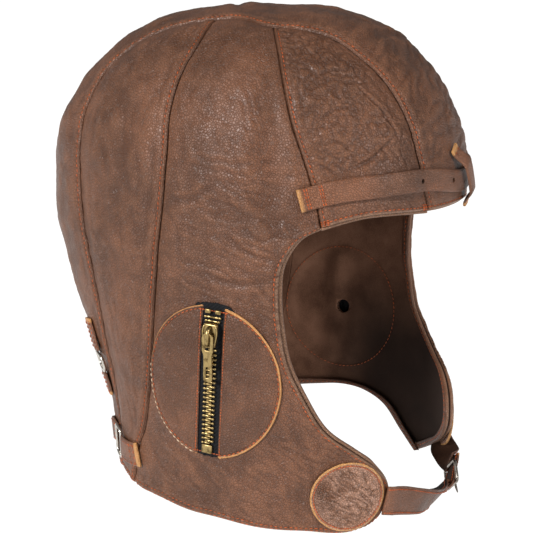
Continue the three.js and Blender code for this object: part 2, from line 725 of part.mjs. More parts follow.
// Both rows of closed teeth as one ridged bar, from the bottom box up to the slider
function zipTeeth(side) {
  const low = -EAR_RADIUS + ZIP_MARGIN;
  const high = SLIDER_AT - SLIDER_LENGTH / 2 - CLEAR;
  const count = Math.floor((high - low) / TEETH_PITCH);
  const rings = [];
  for (let i = 0; i <= 2 * count; i += 1) {
    const t = low + (high - low) * i / (2 * count);
    const height = i % 2 ? TEETH_VALLEY : TEETH_HEIGHT;
    const frame = earFrames[side];
    const half = TEETH_WIDTH / 2;
    rings.push([
      onChart(frame, -half, t, TEETH_BASE),
      onChart(frame, half, t, TEETH_BASE),
      onChart(frame, half, t, TEETH_BASE + height),
      onChart(frame, -half, t, TEETH_BASE + height),
    ]);
  }
  return loft(rings);
}

function toManifold(geometry) {
  const bare = geometry.clone();
  bare.deleteAttribute('normal');
  bare.deleteAttribute('uv');
  const merged = mergeVertices(bare, 1e-3);
  const vertProperties = new Float32Array(merged.attributes.position.array);
  const triVerts = new Uint32Array(merged.index.array);
  return new wasm.Manifold(new wasm.Mesh({ numProp: 3, vertProperties, triVerts }));
}

function fromManifold(manifold) {
  const mesh = manifold.getMesh();
  const geometry = new THREE.BufferGeometry();
  geometry.setAttribute('position', new THREE.BufferAttribute(mesh.vertProperties, 3));
  geometry.setIndex(Array.from(mesh.triVerts));
  return geometry;
}

// Places a geometry of local x, y, z along three directions from a point
function settle(geometry, origin, x, y, z) {
  return geometry.applyMatrix4(new THREE.Matrix4().makeBasis(x, y, z).setPosition(origin));
}

// Frame of the slider: its foot on the tape, x forward, y up the zip and z outward
function sliderFrame(side) {
  const frame = earFrames[side];
  const foot = onChart(frame, 0, SLIDER_AT, TEETH_BASE);
  const y = onChart(frame, 0, SLIDER_AT + SLIDER_LENGTH / 2, TEETH_BASE)
    .sub(onChart(frame, 0, SLIDER_AT - SLIDER_LENGTH / 2, TEETH_BASE)).normalize();
  const wide = onChart(frame, 1, SLIDER_AT, TEETH_BASE).sub(onChart(frame, -1, SLIDER_AT, TEETH_BASE));
  const z = wide.clone().cross(y).normalize();
  if (z.dot(frame.n) < 0) z.negate();
  const x = y.clone().cross(z);
  return { foot: foot.addScaledVector(z, CLEAR), x, y, z };
}

// Slider body with the arch that holds the pull
function zipSlider(side) {
  const top = SLIDER_WIDTH / 2;
  const foot = TEETH_WIDTH / 2 + SLIDER_LAP;
  const length = SLIDER_LENGTH / 2;
  const shape = new THREE.Shape();
  shape.moveTo(-foot, -length);
  shape.lineTo(foot, -length);
  shape.lineTo(top, length * SLIDER_SHOULDER);
  shape.lineTo(top * SLIDER_HEAD, length);
  shape.lineTo(-top * SLIDER_HEAD, length);
  shape.lineTo(-top, length * SLIDER_SHOULDER);
  const body = new THREE.ExtrudeGeometry(shape, { depth: SLIDER_THICK, bevelEnabled: false });
  const half = ARCH_LENGTH / 2;
  const arch = new THREE.Shape();
  arch.moveTo(-half, -ARCH_BITE);
  arch.lineTo(-half, ARCH_RISE - ARCH_BAR);
  arch.lineTo(-half + ARCH_BAR, ARCH_RISE);
  arch.lineTo(half - ARCH_BAR, ARCH_RISE);
  arch.lineTo(half, ARCH_RISE - ARCH_BAR);
  arch.lineTo(half, -ARCH_BITE);
  arch.lineTo(half - ARCH_BAR, -ARCH_BITE);
  arch.lineTo(half - ARCH_BAR, ARCH_RISE - ARCH_BAR);
  arch.lineTo(-half + ARCH_BAR, ARCH_RISE - ARCH_BAR);
  arch.lineTo(-half + ARCH_BAR, -ARCH_BITE);
  const along = new THREE.Matrix4().makeBasis(
    new THREE.Vector3(0, 1, 0), new THREE.Vector3(0, 0, 1), new THREE.Vector3(1, 0, 0),
  );
  const upright = new THREE.ExtrudeGeometry(arch, { depth: ARCH_WIDTH, bevelEnabled: false });
  upright.translate(0, 0, -ARCH_WIDTH / 2).applyMatrix4(along).translate(0, 0, SLIDER_THICK);
  const joined = fromManifold(toManifold(body).add(toManifold(upright)));
  const { foot: origin, x, y, z } = sliderFrame(side);
  return settle(joined, origin, x, y, z);
}

// The pull turns on its top bar, which lies in the arch; level axis, tab hanging plumb
function pullPivot(side) {
  const { foot, z } = sliderFrame(side);
  const axis = UP.clone().cross(z).normalize();
  const rise = SLIDER_THICK + (ARCH_RISE - ARCH_BAR) / 2;
  return { at: foot.clone().addScaledVector(z, rise), axis };
}

function zipPull(side) {
  const half = PULL_WIDTH / 2;
  const waist = half * PULL_WAIST;
  const tip = half * PULL_TIP;
  const bar = PULL_THICK;
  const eyeLength = ARCH_LENGTH / 2 + EYE_REACH;
  const shoulder = eyeLength + PULL_THICK / 2;
  const shape = new THREE.Shape();
  shape.moveTo(-half, bar / 2);
  shape.lineTo(-half, -shoulder);
  shape.lineTo(-waist, -shoulder - PULL_END);
  shape.lineTo(-waist, -PULL_LENGTH + PULL_END / 2);
  shape.lineTo(-tip, -PULL_LENGTH);
  shape.lineTo(tip, -PULL_LENGTH);
  shape.lineTo(waist, -PULL_LENGTH + PULL_END / 2);
  shape.lineTo(waist, -shoulder - PULL_END);
  shape.lineTo(half, -shoulder);
  shape.lineTo(half, bar / 2);
  const hole = (wide, from, to) => {
    const path = new THREE.Path();
    path.moveTo(-wide, from);
    path.lineTo(-wide, to);
    path.lineTo(wide, to);
    path.lineTo(wide, from);
    shape.holes.push(path);
  };
  hole(ARCH_WIDTH / 2 + EYE_PLAY, -bar / 2, -eyeLength);
  hole(PULL_SLOT_WIDTH / 2, -PULL_LENGTH + PULL_END + PULL_SLOT_LENGTH, -PULL_LENGTH + PULL_END);
  const tab = new THREE.ExtrudeGeometry(shape, { depth: PULL_THICK, bevelEnabled: false });
  tab.translate(0, 0, -PULL_THICK / 2);
  const { at, axis } = pullPivot(side);
  return settle(solidOf(tab), at, axis, UP.clone(), axis.clone().cross(UP));
}

function solidOf(geometry) {
  return fromManifold(toManifold(geometry));
}

// Round rod that cuts a hole through a layer
function drill(diameter, at, direction) {
  const rod = new THREE.CylinderGeometry(diameter / 2, diameter / 2, DRILL_LENGTH, DRILL_SEGMENTS);
  rod.applyQuaternion(new THREE.Quaternion().setFromUnitVectors(new THREE.Vector3(0, 1, 0), direction));
  rod.translate(at.x, at.y, at.z);
  return toManifold(rod);
}

// Strap lying on the leather through places of the form, with a lift at each share of its length
function strapOnForm(places, width, count, liftAt, thick) {
  const curve = new THREE.CatmullRomCurve3(places.map((p) => onForm(p)), false, 'centripetal');
  const rings = [];
  const centres = curve.getSpacedPoints(count).map(onForm);
  centres.forEach((p, i) => {
    const before = centres[Math.max(i - 1, 0)];
    const after = centres[Math.min(i + 1, count)];
    const aside = formNormal(p).cross(after.clone().sub(before)).normalize().multiplyScalar(width / 2);
    const [a, b] = [p.clone().add(aside), p.clone().sub(aside)].map((q) => skinPoint(onForm(q)));
    const lift = liftAt(i / count);
    rings.push([
      a.point.clone().addScaledVector(a.normal, lift),
      b.point.clone().addScaledVector(b.normal, lift),
      b.point.clone().addScaledVector(b.normal, lift + thick),
      a.point.clone().addScaledVector(a.normal, lift + thick),
    ]);
  });
  return loft(rings);
}

// Strap across the forehead, sewn at both ends
function browStrap() {
  const rightRows = BROW_STRAP_ROWS.map((row) => place(row, -1));
  const leftRows = BROW_STRAP_ROWS.slice(0, -1).reverse().map((row) => place(row, 1));
  const places = [...rightRows, ...leftRows];
  let strap = toManifold(strapOnForm(places, BROW_STRAP_WIDTH, STRAP_SEGMENTS.brow, () => REST, STRAP));
  for (const { side, depth } of BROW_HOLES) {
    const p = onForm(new THREE.Vector3(-side * HALF_WIDTH, -FRONT_REACH, -depth * HEIGHT));
    strap = strap.subtract(drill(BROW_STRAP_HOLE, p, formNormal(p)));
  }
  return fromManifold(strap);
}

// Upright leather loop at the middle of the brow; the strap passes beneath it
function browLoop() {
  const over = REST + STRAP + CLEAR;
  const ease = (share) => {
    const rise = THREE.MathUtils.smoothstep(share, LOOP_RISE.from, LOOP_RISE.to);
    const fall = 1 - THREE.MathUtils.smoothstep(share, LOOP_FALL.from, LOOP_FALL.to);
    return REST + over * LOOP_STAND * Math.min(rise, fall);
  };
  const places = BROW_LOOP_ROWS.map((row) => place(row, 1));
  return strapOnForm(places, BROW_LOOP_WIDTH, STRAP_SEGMENTS.loop, ease, STRAP);
}

// Round patches over the roots of the chin strap
function chinPatch(side) {
  const frame = chart(CHIN_PLACES[side], side === 'right' ? -1 : 1);
  const columns = [];
  const steps = PATCH_SEGMENTS.chinAcross;
  for (let i = 0; i <= steps; i += 1) {
    const angle = (Math.PI / 2 - CHIN_BLUNT) * (2 * i / steps - 1);
    const high = CHIN_PATCH_RADIUS * Math.cos(angle);
    columns.push({ s: CHIN_PATCH_RADIUS * Math.sin(angle), low: -high, high });
  }
  return slab(frame, columns, PATCH_SEGMENTS.chinUp, REST, LEATHER);
}

// Ribbon through free places; each row also gives the direction of its upper edge
function ribbon(stations, width, thick) {
  const rings = stations.map(({ at, edge }, i) => {
    const before = stations[Math.max(i - 1, 0)].at;
    const after = stations[Math.min(i + 1, stations.length - 1)].at;
    const along = after.clone().sub(before).normalize();
    const wide = edge.clone().addScaledVector(along, -edge.dot(along)).normalize();
    const face = along.clone().cross(wide);
    const corner = (w, f) => at.clone().addScaledVector(wide, w * width).addScaledVector(face, f * thick);
    return [corner(-0.5, -0.5), corner(0.5, -0.5), corner(0.5, 0.5), corner(-0.5, 0.5)];
  });
  return loft(rings);
}

function smoothStations(rows, count) {
  const path = new THREE.CatmullRomCurve3(rows.map((row) => row.at), false, 'centripetal');
  const edges = new THREE.CatmullRomCurve3(rows.map((row) => row.edge), false, 'centripetal');
  const stations = [];
  for (let i = 0; i <= count; i += 1) {
    stations.push({ at: path.getPoint(i / count), edge: edges.getPoint(i / count).normalize() });
  }
  return stations;
}

// The buckle lies past the end of the left flap, in line with the short strap that holds it
const farPatch = chart(CHIN_PLACES.left, 1);
const BAR = BUCKLE_OPENING / 2 + BUCKLE_WIRE / 2;
const farTurn = THREE.MathUtils.degToRad(BUCKLE_TURN);

function farRoot(reach) {
  const [s, t] = [Math.sin(farTurn) * reach, -Math.cos(farTurn) * reach];
  const nominal = formOnChart(farPatch, s, t);
  return { at: onChart(farPatch, s, t, REST + STRAP / 2 + CLEAR), normal: formNormal(nominal) };
}

const farStart = farRoot(CHIN_PATCH_RADIUS + 2 * CLEAR);
const farBend = farRoot(CHIN_PATCH_RADIUS + 2 * CLEAR + FAR_STRAP_LENGTH / 3);
const buckleOut = farBend.normal;
const buckleDown = farBend.at.clone().sub(farStart.at);
buckleDown.addScaledVector(buckleOut, -buckleDown.dot(buckleOut)).normalize();
const buckleAcross = buckleDown.clone().cross(buckleOut);
const buckleAt = farBend.at.clone()
  .addScaledVector(buckleDown, FAR_STRAP_LENGTH * 2 / 3 + CLEAR + BAR + BUCKLE_WIRE / 2);

function inBuckle(across, down, out) {
  return buckleAt.clone().addScaledVector(buckleAcross, across)
    .addScaledVector(buckleDown, down).addScaledVector(buckleOut, out);
}

// Chin strap from the right flap, round under the chin and up through the buckle
function chinStrapNear() {
  const frame = chart(CHIN_PLACES.right, -1);
  const start = CHIN_PATCH_RADIUS + 2 * CLEAR;
  const lift = REST + STRAP / 2 + CLEAR;
  const root = CHIN_ROOT.map((share) => start + share * CHIN_STRAP_WIDTH).map((s) => ({
    at: onChart(frame, s, -s * CHIN_ROOT_FALL, lift),
    edge: frame.t.clone(),
  }));
  const free = CHIN_STRAP_ROWS.map((row) => {
    return { at: place(row), edge: new THREE.Vector3(...row.edge).normalize() };
  });
  const over = BUCKLE_WIRE / 2 + STRAP / 2 + 2 * CLEAR;
  const threaded = [
    [BAR + STRAP_TAIL, -over - CLEAR],
    [BAR, -over],
    [0, 0],
    [-BAR, over],
    [-BAR - STRAP_TAIL, over + 3 * CLEAR],
  ].map(([down, out]) => ({ at: inBuckle(0, down, out), edge: buckleAcross.clone() }));
  const stations = smoothStations([...root, ...free, ...threaded], STRAP_SEGMENTS.chin);
  return ribbon(stations, CHIN_STRAP_WIDTH, STRAP);
}

// Short strap from the left flap to the bar of the buckle
function chinStrapFar() {
  const end = inBuckle(0, -BAR - BUCKLE_WIRE / 2 - CLEAR, 0);
  const stations = [farStart.at, farBend.at, end].map((at) => ({ at, edge: buckleAcross }));
  return ribbon(stations, CHIN_STRAP_WIDTH, STRAP);
}

// Wire bent round a rectangle with cut corners, joined end to end
function wireFrame(at, across, down, out, width, height, wire) {
  const [w, h] = [width / 2, height / 2];
  const cut = wire;
  const outline = [
    [-w + cut, -h], [w - cut, -h], [w, -h + cut], [w, h - cut],
    [w - cut, h], [-w + cut, h], [-w, h - cut], [-w, -h + cut],
  ];
  const rings = outline.map(([x, y], i) => {
    const [px, py] = outline[(i + outline.length - 1) % outline.length];
    const [nx, ny] = outline[(i + 1) % outline.length];
    const before = new THREE.Vector2(x - px, y - py).normalize();
    const after = new THREE.Vector2(nx - x, ny - y).normalize();
    const tangent = before.add(after).normalize();
    const ring = [];
    for (let k = 0; k < WIRE_SEGMENTS; k += 1) {
      const angle = (k + 0.5) * 2 * Math.PI / WIRE_SEGMENTS;
      const r = wire / 2;
      const u = x + tangent.y * r * Math.cos(angle);
      const v = y - tangent.x * r * Math.cos(angle);
      ring.push(at.clone().addScaledVector(across, u).addScaledVector(down, v)
        .addScaledVector(out, r * Math.sin(angle)));
    }
    return ring;
  });
  return loft(rings, true);
}

function chinBuckle() {
  const width = CHIN_STRAP_WIDTH + 2 * BUCKLE_SIDE_PLAY + BUCKLE_WIRE;
  const height = BUCKLE_OPENING + BUCKLE_WIRE;
  return wireFrame(buckleAt, buckleAcross, buckleDown, buckleOut, width, height, BUCKLE_WIRE);
}

// Prong that lies over the outer bar, its root just above the strap
function chinProng() {
  const r = PRONG_WIRE / 2;
  const over = BUCKLE_WIRE / 2 + CLEAR + r;
  const line = [[BAR - PRONG_ROOT, over], [BAR, over], [BAR + PRONG_TIP, over + 2 * CLEAR]];
  const rings = line.map(([down, out]) => [[-r, -r], [r, -r], [r, r], [-r, r]]
    .map(([a, o]) => inBuckle(a, down, out + o)));
  return loft(rings);
}

// Nape strap between the rear seams, with a ring on the wearer's right
function napePlaces(mirror) {
  return NAPE_ROWS.map((row) => place(row, mirror));
}

function napeBuckle() {
  const frame = chart(NAPE_RING, -1, NAPE_TURN);
  const at = onChart(frame, 0, 0, REST + CLEAR + BUCKLE_WIRE / 2);
  const width = RING_OPENING + BUCKLE_WIRE;
  const height = NAPE_STRAP_WIDTH + 2 * BUCKLE_SIDE_PLAY + BUCKLE_WIRE;
  return wireFrame(at, frame.s, frame.t, frame.n, width, height, BUCKLE_WIRE);
}

// Distance of the nape strap's two parts from the middle of the ring
const NAPE_BREAK = RING_OPENING / 2 + BUCKLE_WIRE + 3 * CLEAR;

function napeTab() {
  const root = onForm(place(NAPE_ROWS[0], -1));
  const end = formOnChart(chart(NAPE_RING, -1, NAPE_TURN), NAPE_BREAK, 0);
  const mid = root.clone().lerp(end, 0.5);
  return strapOnForm([root, mid, end], NAPE_STRAP_WIDTH, STRAP_SEGMENTS.napeTab, () => REST, STRAP);
}

function napeStrap() {
  const frame = chart(NAPE_RING, -1, NAPE_TURN);
  const start = [NAPE_BREAK, NAPE_BREAK + NAPE_STRAP_WIDTH / 2].map((reach) => formOnChart(frame, -reach, 0));
  const rightPart = napePlaces(-1).slice(2);
  const leftPart = napePlaces(1).slice(0, -1).reverse();
  const places = [...start, ...rightPart, ...leftPart];
  return strapOnForm(places, NAPE_STRAP_WIDTH, STRAP_SEGMENTS.nape, () => REST, STRAP);
}

// Goggle strap retainers on the back: a tab, a ring and a lower strap on each side
function retainerParts(mirror) {
  const [top, , foot] = RETAINER_ROWS.map((row) => onForm(place(row, mirror)));
  const frame = chart(RETAINER_ROWS[1], mirror);
  const rise = RETAINER_RISE;
  const at = onChart(frame, 0, 0, rise + BUCKLE_WIRE / 2);
  const width = RETAINER_WIDTH + 2 * BUCKLE_SIDE_PLAY + BUCKLE_WIRE;
  const height = RING_OPENING + BUCKLE_WIRE;
  const ring = wireFrame(at, frame.s, frame.t, frame.n, width, height, BUCKLE_WIRE);
  const gap = height / 2 + BUCKLE_WIRE / 2 + 4 * CLEAR;
  const upEnd = formOnChart(frame, 0, gap);
  const downEnd = formOnChart(frame, 0, -gap);
  const swell = (share) => REST + rise * THREE.MathUtils.smoothstep(share, 1 - RETAINER_SLOPE, 1);
  const ease = (share) => REST + rise * (1 - THREE.MathUtils.smoothstep(share, 0, RETAINER_SLOPE));
  const strip = (from, to, liftAt) => {
    const places = [from, from.clone().lerp(to, 0.5), to];
    return strapOnForm(places, RETAINER_WIDTH, STRAP_SEGMENTS.retainer, liftAt, STRAP);
  };
  return { ring, upper: strip(top, upEnd, swell), lower: strip(downEnd, foot, ease) };
}

function liningShell() {
  const patches = [
    { grid: dressed(right.front), turned: false },
    { grid: dressed(right.side), turned: false },
    { grid: dressed(right.rear), turned: false },
    { grid: dressed(left.front), turned: true },
    { grid: dressed(left.side), turned: true },
    { grid: dressed(left.rear), turned: true },
    { grid: dressed(crown), turned: true },
  ];
  const outer = -LEATHER - CLEAR;
  let shell = toManifold(wall(patches, outer, outer - LINING));
  for (const side of ['right', 'left']) {
    shell = shell.subtract(drill(EAR_HOLE, earFrames[side].origin, earFrames[side].n));
  }
  return fromManifold(shell);
}

// Materials
const paint = (color, roughness, metalness) => {
  return new THREE.MeshStandardMaterial({ color, roughness, metalness });
};
const LEATHER_SKIN = () => paint(0x7a5442, 0.55, 0);
const STRAP_SKIN = () => paint(0x6b4a3a, 0.5, 0);
const LINING_SKIN = () => paint(0x4a3730, 0.9, 0);
const TAPE_SKIN = () => paint(0x1c1d22, 0.85, 0);
const BRASS_SKIN = () => paint(0xb0945a, 0.38, 1);
const NICKEL_SKIN = () => paint(0xc9c9c9, 0.3, 1);

const helmet = new THREE.Group();
helmet.position.z = SEAT;

function add(name, geometry, material) {
  const mesh = new THREE.Mesh(geometry, material);
  mesh.name = name;
  helmet.add(mesh);
}

add('crown_band', panelOf(crown, false), LEATHER_SKIN());
add('lining', liningShell(), LINING_SKIN());
for (const [side, grids] of [['right', right], ['left', left]]) {
  const mirror = side === 'right' ? -1 : 1;
  add(`front_panel_${side}`, panelOf(grids.front, mirror > 0), LEATHER_SKIN());
  add(`side_panel_${side}`, panelOf(grids.side, mirror > 0), LEATHER_SKIN());
  add(`rear_panel_${side}`, panelOf(grids.rear, mirror > 0), LEATHER_SKIN());
  add(`ear_patch_front_${side}`, earHalf(side, true), LEATHER_SKIN());
  add(`ear_patch_rear_${side}`, earHalf(side, false), LEATHER_SKIN());
  add(`zip_tape_${side}`, zipTape(side), TAPE_SKIN());
  add(`zip_teeth_${side}`, zipTeeth(side), BRASS_SKIN());
  add(`zip_slider_${side}`, zipSlider(side), BRASS_SKIN());
  add(`zip_pull_${side}`, zipPull(side), BRASS_SKIN());
  add(`chin_patch_${side}`, chinPatch(side), LEATHER_SKIN());
  const { ring, upper, lower } = retainerParts(mirror);
  add(`retainer_tab_${side}`, upper, STRAP_SKIN());
  add(`retainer_ring_${side}`, ring, NICKEL_SKIN());
  add(`retainer_strap_${side}`, lower, STRAP_SKIN());
}
add('brow_strap', browStrap(), STRAP_SKIN());
add('brow_loop', browLoop(), STRAP_SKIN());
add('chin_strap_near', chinStrapNear(), STRAP_SKIN());
add('chin_strap_far', chinStrapFar(), STRAP_SKIN());
add('chin_buckle', chinBuckle(), NICKEL_SKIN());
add('chin_prong', chinProng(), NICKEL_SKIN());
add('nape_tab', napeTab(), STRAP_SKIN());
add('nape_buckle', napeBuckle(), NICKEL_SKIN());
add('nape_strap', napeStrap(), STRAP_SKIN());

export default helmet;
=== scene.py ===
"""Leather flying helmet: seamed crown, zipped ear patches, brow strap, nape strap and chin strap.

Every length is in metres and every tone is an sRGB hex value. The face looks along -Y, +Z is up
and the wearer's right is at -X, which is the side that the camera sees.
"""
import json

import bmesh
import bpy
import numpy as np
from mathutils import Matrix, Vector


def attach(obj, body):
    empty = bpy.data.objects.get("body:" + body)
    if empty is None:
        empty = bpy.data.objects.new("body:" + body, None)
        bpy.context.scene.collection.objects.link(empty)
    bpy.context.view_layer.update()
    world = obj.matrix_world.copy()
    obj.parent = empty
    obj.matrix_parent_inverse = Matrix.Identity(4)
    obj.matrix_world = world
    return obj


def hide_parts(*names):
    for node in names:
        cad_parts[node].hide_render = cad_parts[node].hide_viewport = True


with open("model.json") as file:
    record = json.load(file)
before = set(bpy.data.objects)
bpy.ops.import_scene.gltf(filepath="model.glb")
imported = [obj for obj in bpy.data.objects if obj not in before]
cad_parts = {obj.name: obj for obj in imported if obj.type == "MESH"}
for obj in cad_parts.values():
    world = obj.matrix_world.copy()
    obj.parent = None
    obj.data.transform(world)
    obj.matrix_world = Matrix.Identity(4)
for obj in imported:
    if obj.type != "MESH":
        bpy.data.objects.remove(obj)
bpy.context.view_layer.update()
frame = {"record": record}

MM = 0.001
RIGHT, LEFT = -1, 1
SIDES = {"right": RIGHT, "left": LEFT}

# Driving sizes of the shell
HEIGHT = 262 * MM
HALF_WIDTH = 86 * MM
FRONT_REACH = 103.5 * MM
BACK_REACH = 120.5 * MM
ROUNDNESS = 2.15
LEATHER = 1.5 * MM
LINING = 1.2 * MM
CLEAR = 0.3 * MM
LINING_FACE = LEATHER + CLEAR + LINING
SEAT = LINING_FACE
REST = 0.75 * MM
SKIN = 1.2 * MM
LINING_SKIN = 0.9 * MM
FACING_SKIN = 0.5 * MM

# Relief of the leather
SEAM_DIP = 0.9 * MM
SEAM_DIP_WIDTH = 7 * MM
PANEL_PUFF = 1.2 * MM
HOLLOW_DEPTH = 2.2 * MM
HOLLOW_WIDTH = 9 * MM
CREASE_DEPTH = 0.8 * MM
CREASE_WIDTH = 5 * MM
EDGE_ROLL = 1.7 * MM
VALLEY = 0.8 * MM
WELT = 0.5 * MM
STITCH_IN = 2.1 * MM
# Puckers beside a border: height, reach, full height from, how much finer than the first, and seed
PUCKERS = [(0.42 * MM, 6 * MM, 1.6 * MM, 1.0, 3), (0.16 * MM, 2.5 * MM, 0.8 * MM, 2.3, 5)]
RUBBED_WIDTH = 1.1 * MM
DEEPEST = 1.7 * MM
CREASE_LIP = 0.35
# Relief over the surroundings that gives the full painted highlight on a ridge or painted shade in a furrow, and the
# rounds of smoothing that find the surroundings
PAINTED_LIGHT_HEIGHT = 0.3 * MM
PAINTED_LIGHT_ROUNDS = 14
HEM_STITCHES = (1.3 * MM, 3.6 * MM)
TACK_ROWS = (0.8 * MM, 1.5 * MM, 2.2 * MM, 2.9 * MM)
TACK_LENGTH = 4.4 * MM

# Steps of the panels' grids, and the widths that they are spread over
SIDE_STEP, SIDE_SPAN = 1.0 * MM, 95 * MM
REAR_STEP, REAR_SPAN = 1.6 * MM, 72 * MM
FRONT_STEP = 0.75 * MM
CROWN_STEPS, CROWN_SPAN = (1.65 * MM, 1.55 * MM), 100 * MM

# Stitches: pitch, length and thread
STITCH_PITCH = 2.5 * MM
SEAM_STITCH = (STITCH_PITCH, 1.75 * MM, 0.5 * MM)
DENSE_STITCH = (1.5 * MM, 1.45 * MM, 0.62 * MM)
LOOSE_STITCH = (2.8 * MM, 1.9 * MM, 0.75 * MM)
STITCH_SUNK = 0.25
STITCH_SLANT = 0.12

# Ear patches and their zips
EAR_RADIUS = 39.5 * MM
EAR_HALF_WIDTH = 35.2 * MM
EAR_TILT = 4.5
EAR_HOLE = 8 * MM
DRILL_DEPTH = 12 * MM
GAP_WIDTH = 10.6 * MM
TAPE_WIDTH = 25 * MM
TAPE_PAST = 1.5 * MM
TAPE_FRAY = 1.3 * MM
TAPE_SKIN = 0.4 * MM
TAPE_BEAD = 2.2 * MM
TEETH_PITCH = 2.4 * MM
ZIP_MARGIN = 3 * MM
SLIDER_LENGTH = 12 * MM
SLIDER_FROM_TOP = 14 * MM
SLIDER_AT = EAR_RADIUS - SLIDER_FROM_TOP
TEETH_LIFT = 1.5 * MM
# Blocks of the zip: width, length and height, and the bevel of their edges
TOOTH_HEAD = ((4.4 * MM, 1.0 * MM, 1.3 * MM), 0.24 * MM)
TOOTH_LEGS = ((1.6 * MM, 1.2 * MM, 1.6 * MM), 0.3 * MM)
LOWER_STOP = ((5.6 * MM, 4.6 * MM, 1.9 * MM), 0.45 * MM)
UPPER_STOP = ((3.0 * MM, 2.2 * MM, 1.9 * MM), 0.5 * MM)
SLIDER_BODY = ((8.8 * MM, SLIDER_LENGTH, 2.7 * MM), 0.8 * MM)
EAR_ROWS, EAR_STEP = 110, 1.3 * MM
PATCH_TOP = 1.6 * MM
PATCH_SKIN = 1.3 * MM
ARC_STITCH = 1.5 * MM
ZIP_STITCH = 0.9 * MM
ZIP_END_ROWS = (37.2 * MM, -36.8 * MM)
PALE_ARC = (0.48, 0.93)
LINING_CIRCLE = (35.5 * MM, 36 * MM)

# Straps, patches and rings
BROW_STRAP_WIDTH = 11 * MM
BROW_HOLE = 2.3 * MM
BROW_LOOP_WIDTH = 7 * MM
STRAP = 1.6 * MM
STRAP_FLATTENS = 0.6
CHIN_STRAP_WIDTH = 15 * MM
CHIN_PATCH_RADIUS = 18.5 * MM
CHIN_PATCH_STITCH = 1.7 * MM
CHIN_PATCH_SKIN = 1.2 * MM
CHIN_PATCH_ROWS = 160
CHIN_PATCH_GAPS = (5.4, 18.4, 0.75)
WIRE = 1.8 * MM
BUCKLE_OPENING = 10 * MM
SIDE_PLAY = 1 * MM
BUCKLE_TURN = 35
FAR_STRAP_LENGTH = 10 * MM
PRONG_WIRE = 1.3 * MM
PRONG_PAST = 4.2 * MM
NAPE_STRAP_WIDTH = 13 * MM
NAPE_TURN = 11
RETAINER_WIDTH = 10 * MM
RETAINER_PRESSED = 1.0 * MM
RING_OPENING = 7 * MM
RING_LENGTH = RING_OPENING + WIRE
RING_CORNER = 2.6 * MM
BUCKLE_CORNER = 2.4 * MM

# Camera at the photographed angle, lamps and surroundings; angles in degrees
AZIMUTH, ELEVATION, DISTANCE = -64.5, 12.5, 0.76
TARGET = np.array([0, 2.7, -137]) * MM
# Lens and sensor are in millimetres, as Blender takes them
FOCAL_LENGTH, SENSOR_WIDTH, NEAREST = 94.97, 36, 10 * MM
# Each lamp's azimuth, elevation, power and angle across
LAMPS = {"key": (-106, 24, 3.9, 12), "fill": (-15, 18, 1.6, 22)}
# The surroundings light the leather a little, and look white to the camera
WORLD_LIGHT, WORLD_SEEN = 0.24, 1.05
FLOOR_DROP, FLOOR_SIZE, FLOOR_GLOW = 0.62, 90, 0.22
WHITE = (1, 1, 1, 1)

# Section of the head form: depth, half width, front reach and back reach, as shares
SECTIONS = np.array([
    (0.000, 0.000, 0.000, 0.000), (0.015, 0.350, 0.385, 0.350), (0.034, 0.515, 0.535, 0.500),
    (0.057, 0.645, 0.645, 0.600), (0.085, 0.740, 0.725, 0.690), (0.122, 0.825, 0.810, 0.790),
    (0.172, 0.900, 0.900, 0.880), (0.229, 0.957, 0.962, 0.955), (0.300, 0.990, 0.995, 0.990),
    (0.380, 1.000, 1.000, 1.000), (0.450, 1.010, 1.000, 0.975), (0.573, 1.010, 0.995, 0.885),
    (0.649, 1.000, 0.990, 0.820), (0.725, 0.985, 0.985, 0.745), (0.820, 0.965, 0.975, 0.695),
    (0.954, 0.940, 0.955, 0.670), (1.200, 0.910, 0.930, 0.660),
])

# Seams and edges: shares of the half width, of the reach (front negative) and of the height
CROWN_SEAM_FRONT = [
    (0.490, -0.203, 0.033), (0.450, -0.310, 0.036), (0.425, -0.464, 0.050), (0.420, -0.614, 0.082),
    (0.402, -0.735, 0.120), (0.400, -0.831, 0.176), (0.400, -0.899, 0.245), (0.378, -0.940, 0.312),
    (0.335, -0.961, 0.370),
]
CROWN_SEAM_TOP = [
    (0.420, 0.116, 0.023), (0.405, 0.040, 0.020), (0.430, -0.040, 0.022), (0.470, -0.120, 0.028),
    (0.490, -0.203, 0.033),
]
CROWN_SEAM_BACK = [
    (0.420, 0.116, 0.023), (0.460, 0.340, 0.060), (0.560, 0.540, 0.120), (0.670, 0.625, 0.185),
    (0.745, 0.640, 0.250), (0.790, 0.637, 0.325), (0.815, 0.618, 0.410), (0.828, 0.580, 0.495),
    (0.815, 0.540, 0.590), (0.750, 0.525, 0.700), (0.670, 0.520, 0.840), (0.600, 0.545, 0.945),
]
FRONT_SEAM = [
    (0.490, -0.203, 0.033), (0.628, -0.275, 0.065), (0.767, -0.360, 0.130), (0.837, -0.430, 0.202),
    (0.860, -0.502, 0.267), (0.855, -0.560, 0.336), (0.840, -0.585, 0.387),
]
REAR_SEAM = [
    (0.420, 0.116, 0.023), (0.674, 0.104, 0.065), (0.779, 0.124, 0.103), (0.895, 0.145, 0.179),
    (0.971, 0.141, 0.275), (1.000, 0.183, 0.458), (0.983, 0.216, 0.611), (0.953, 0.240, 0.691),
    (0.895, 0.299, 0.809),
]
BROW_EDGE = [
    (0.840, -0.585, 0.387), (0.795, -0.657, 0.378), (0.700, -0.754, 0.368), (0.570, -0.850, 0.366),
    (0.335, -0.961, 0.370),
]
NAPE_MIDDLE = (0.000, 0.670, 0.927)
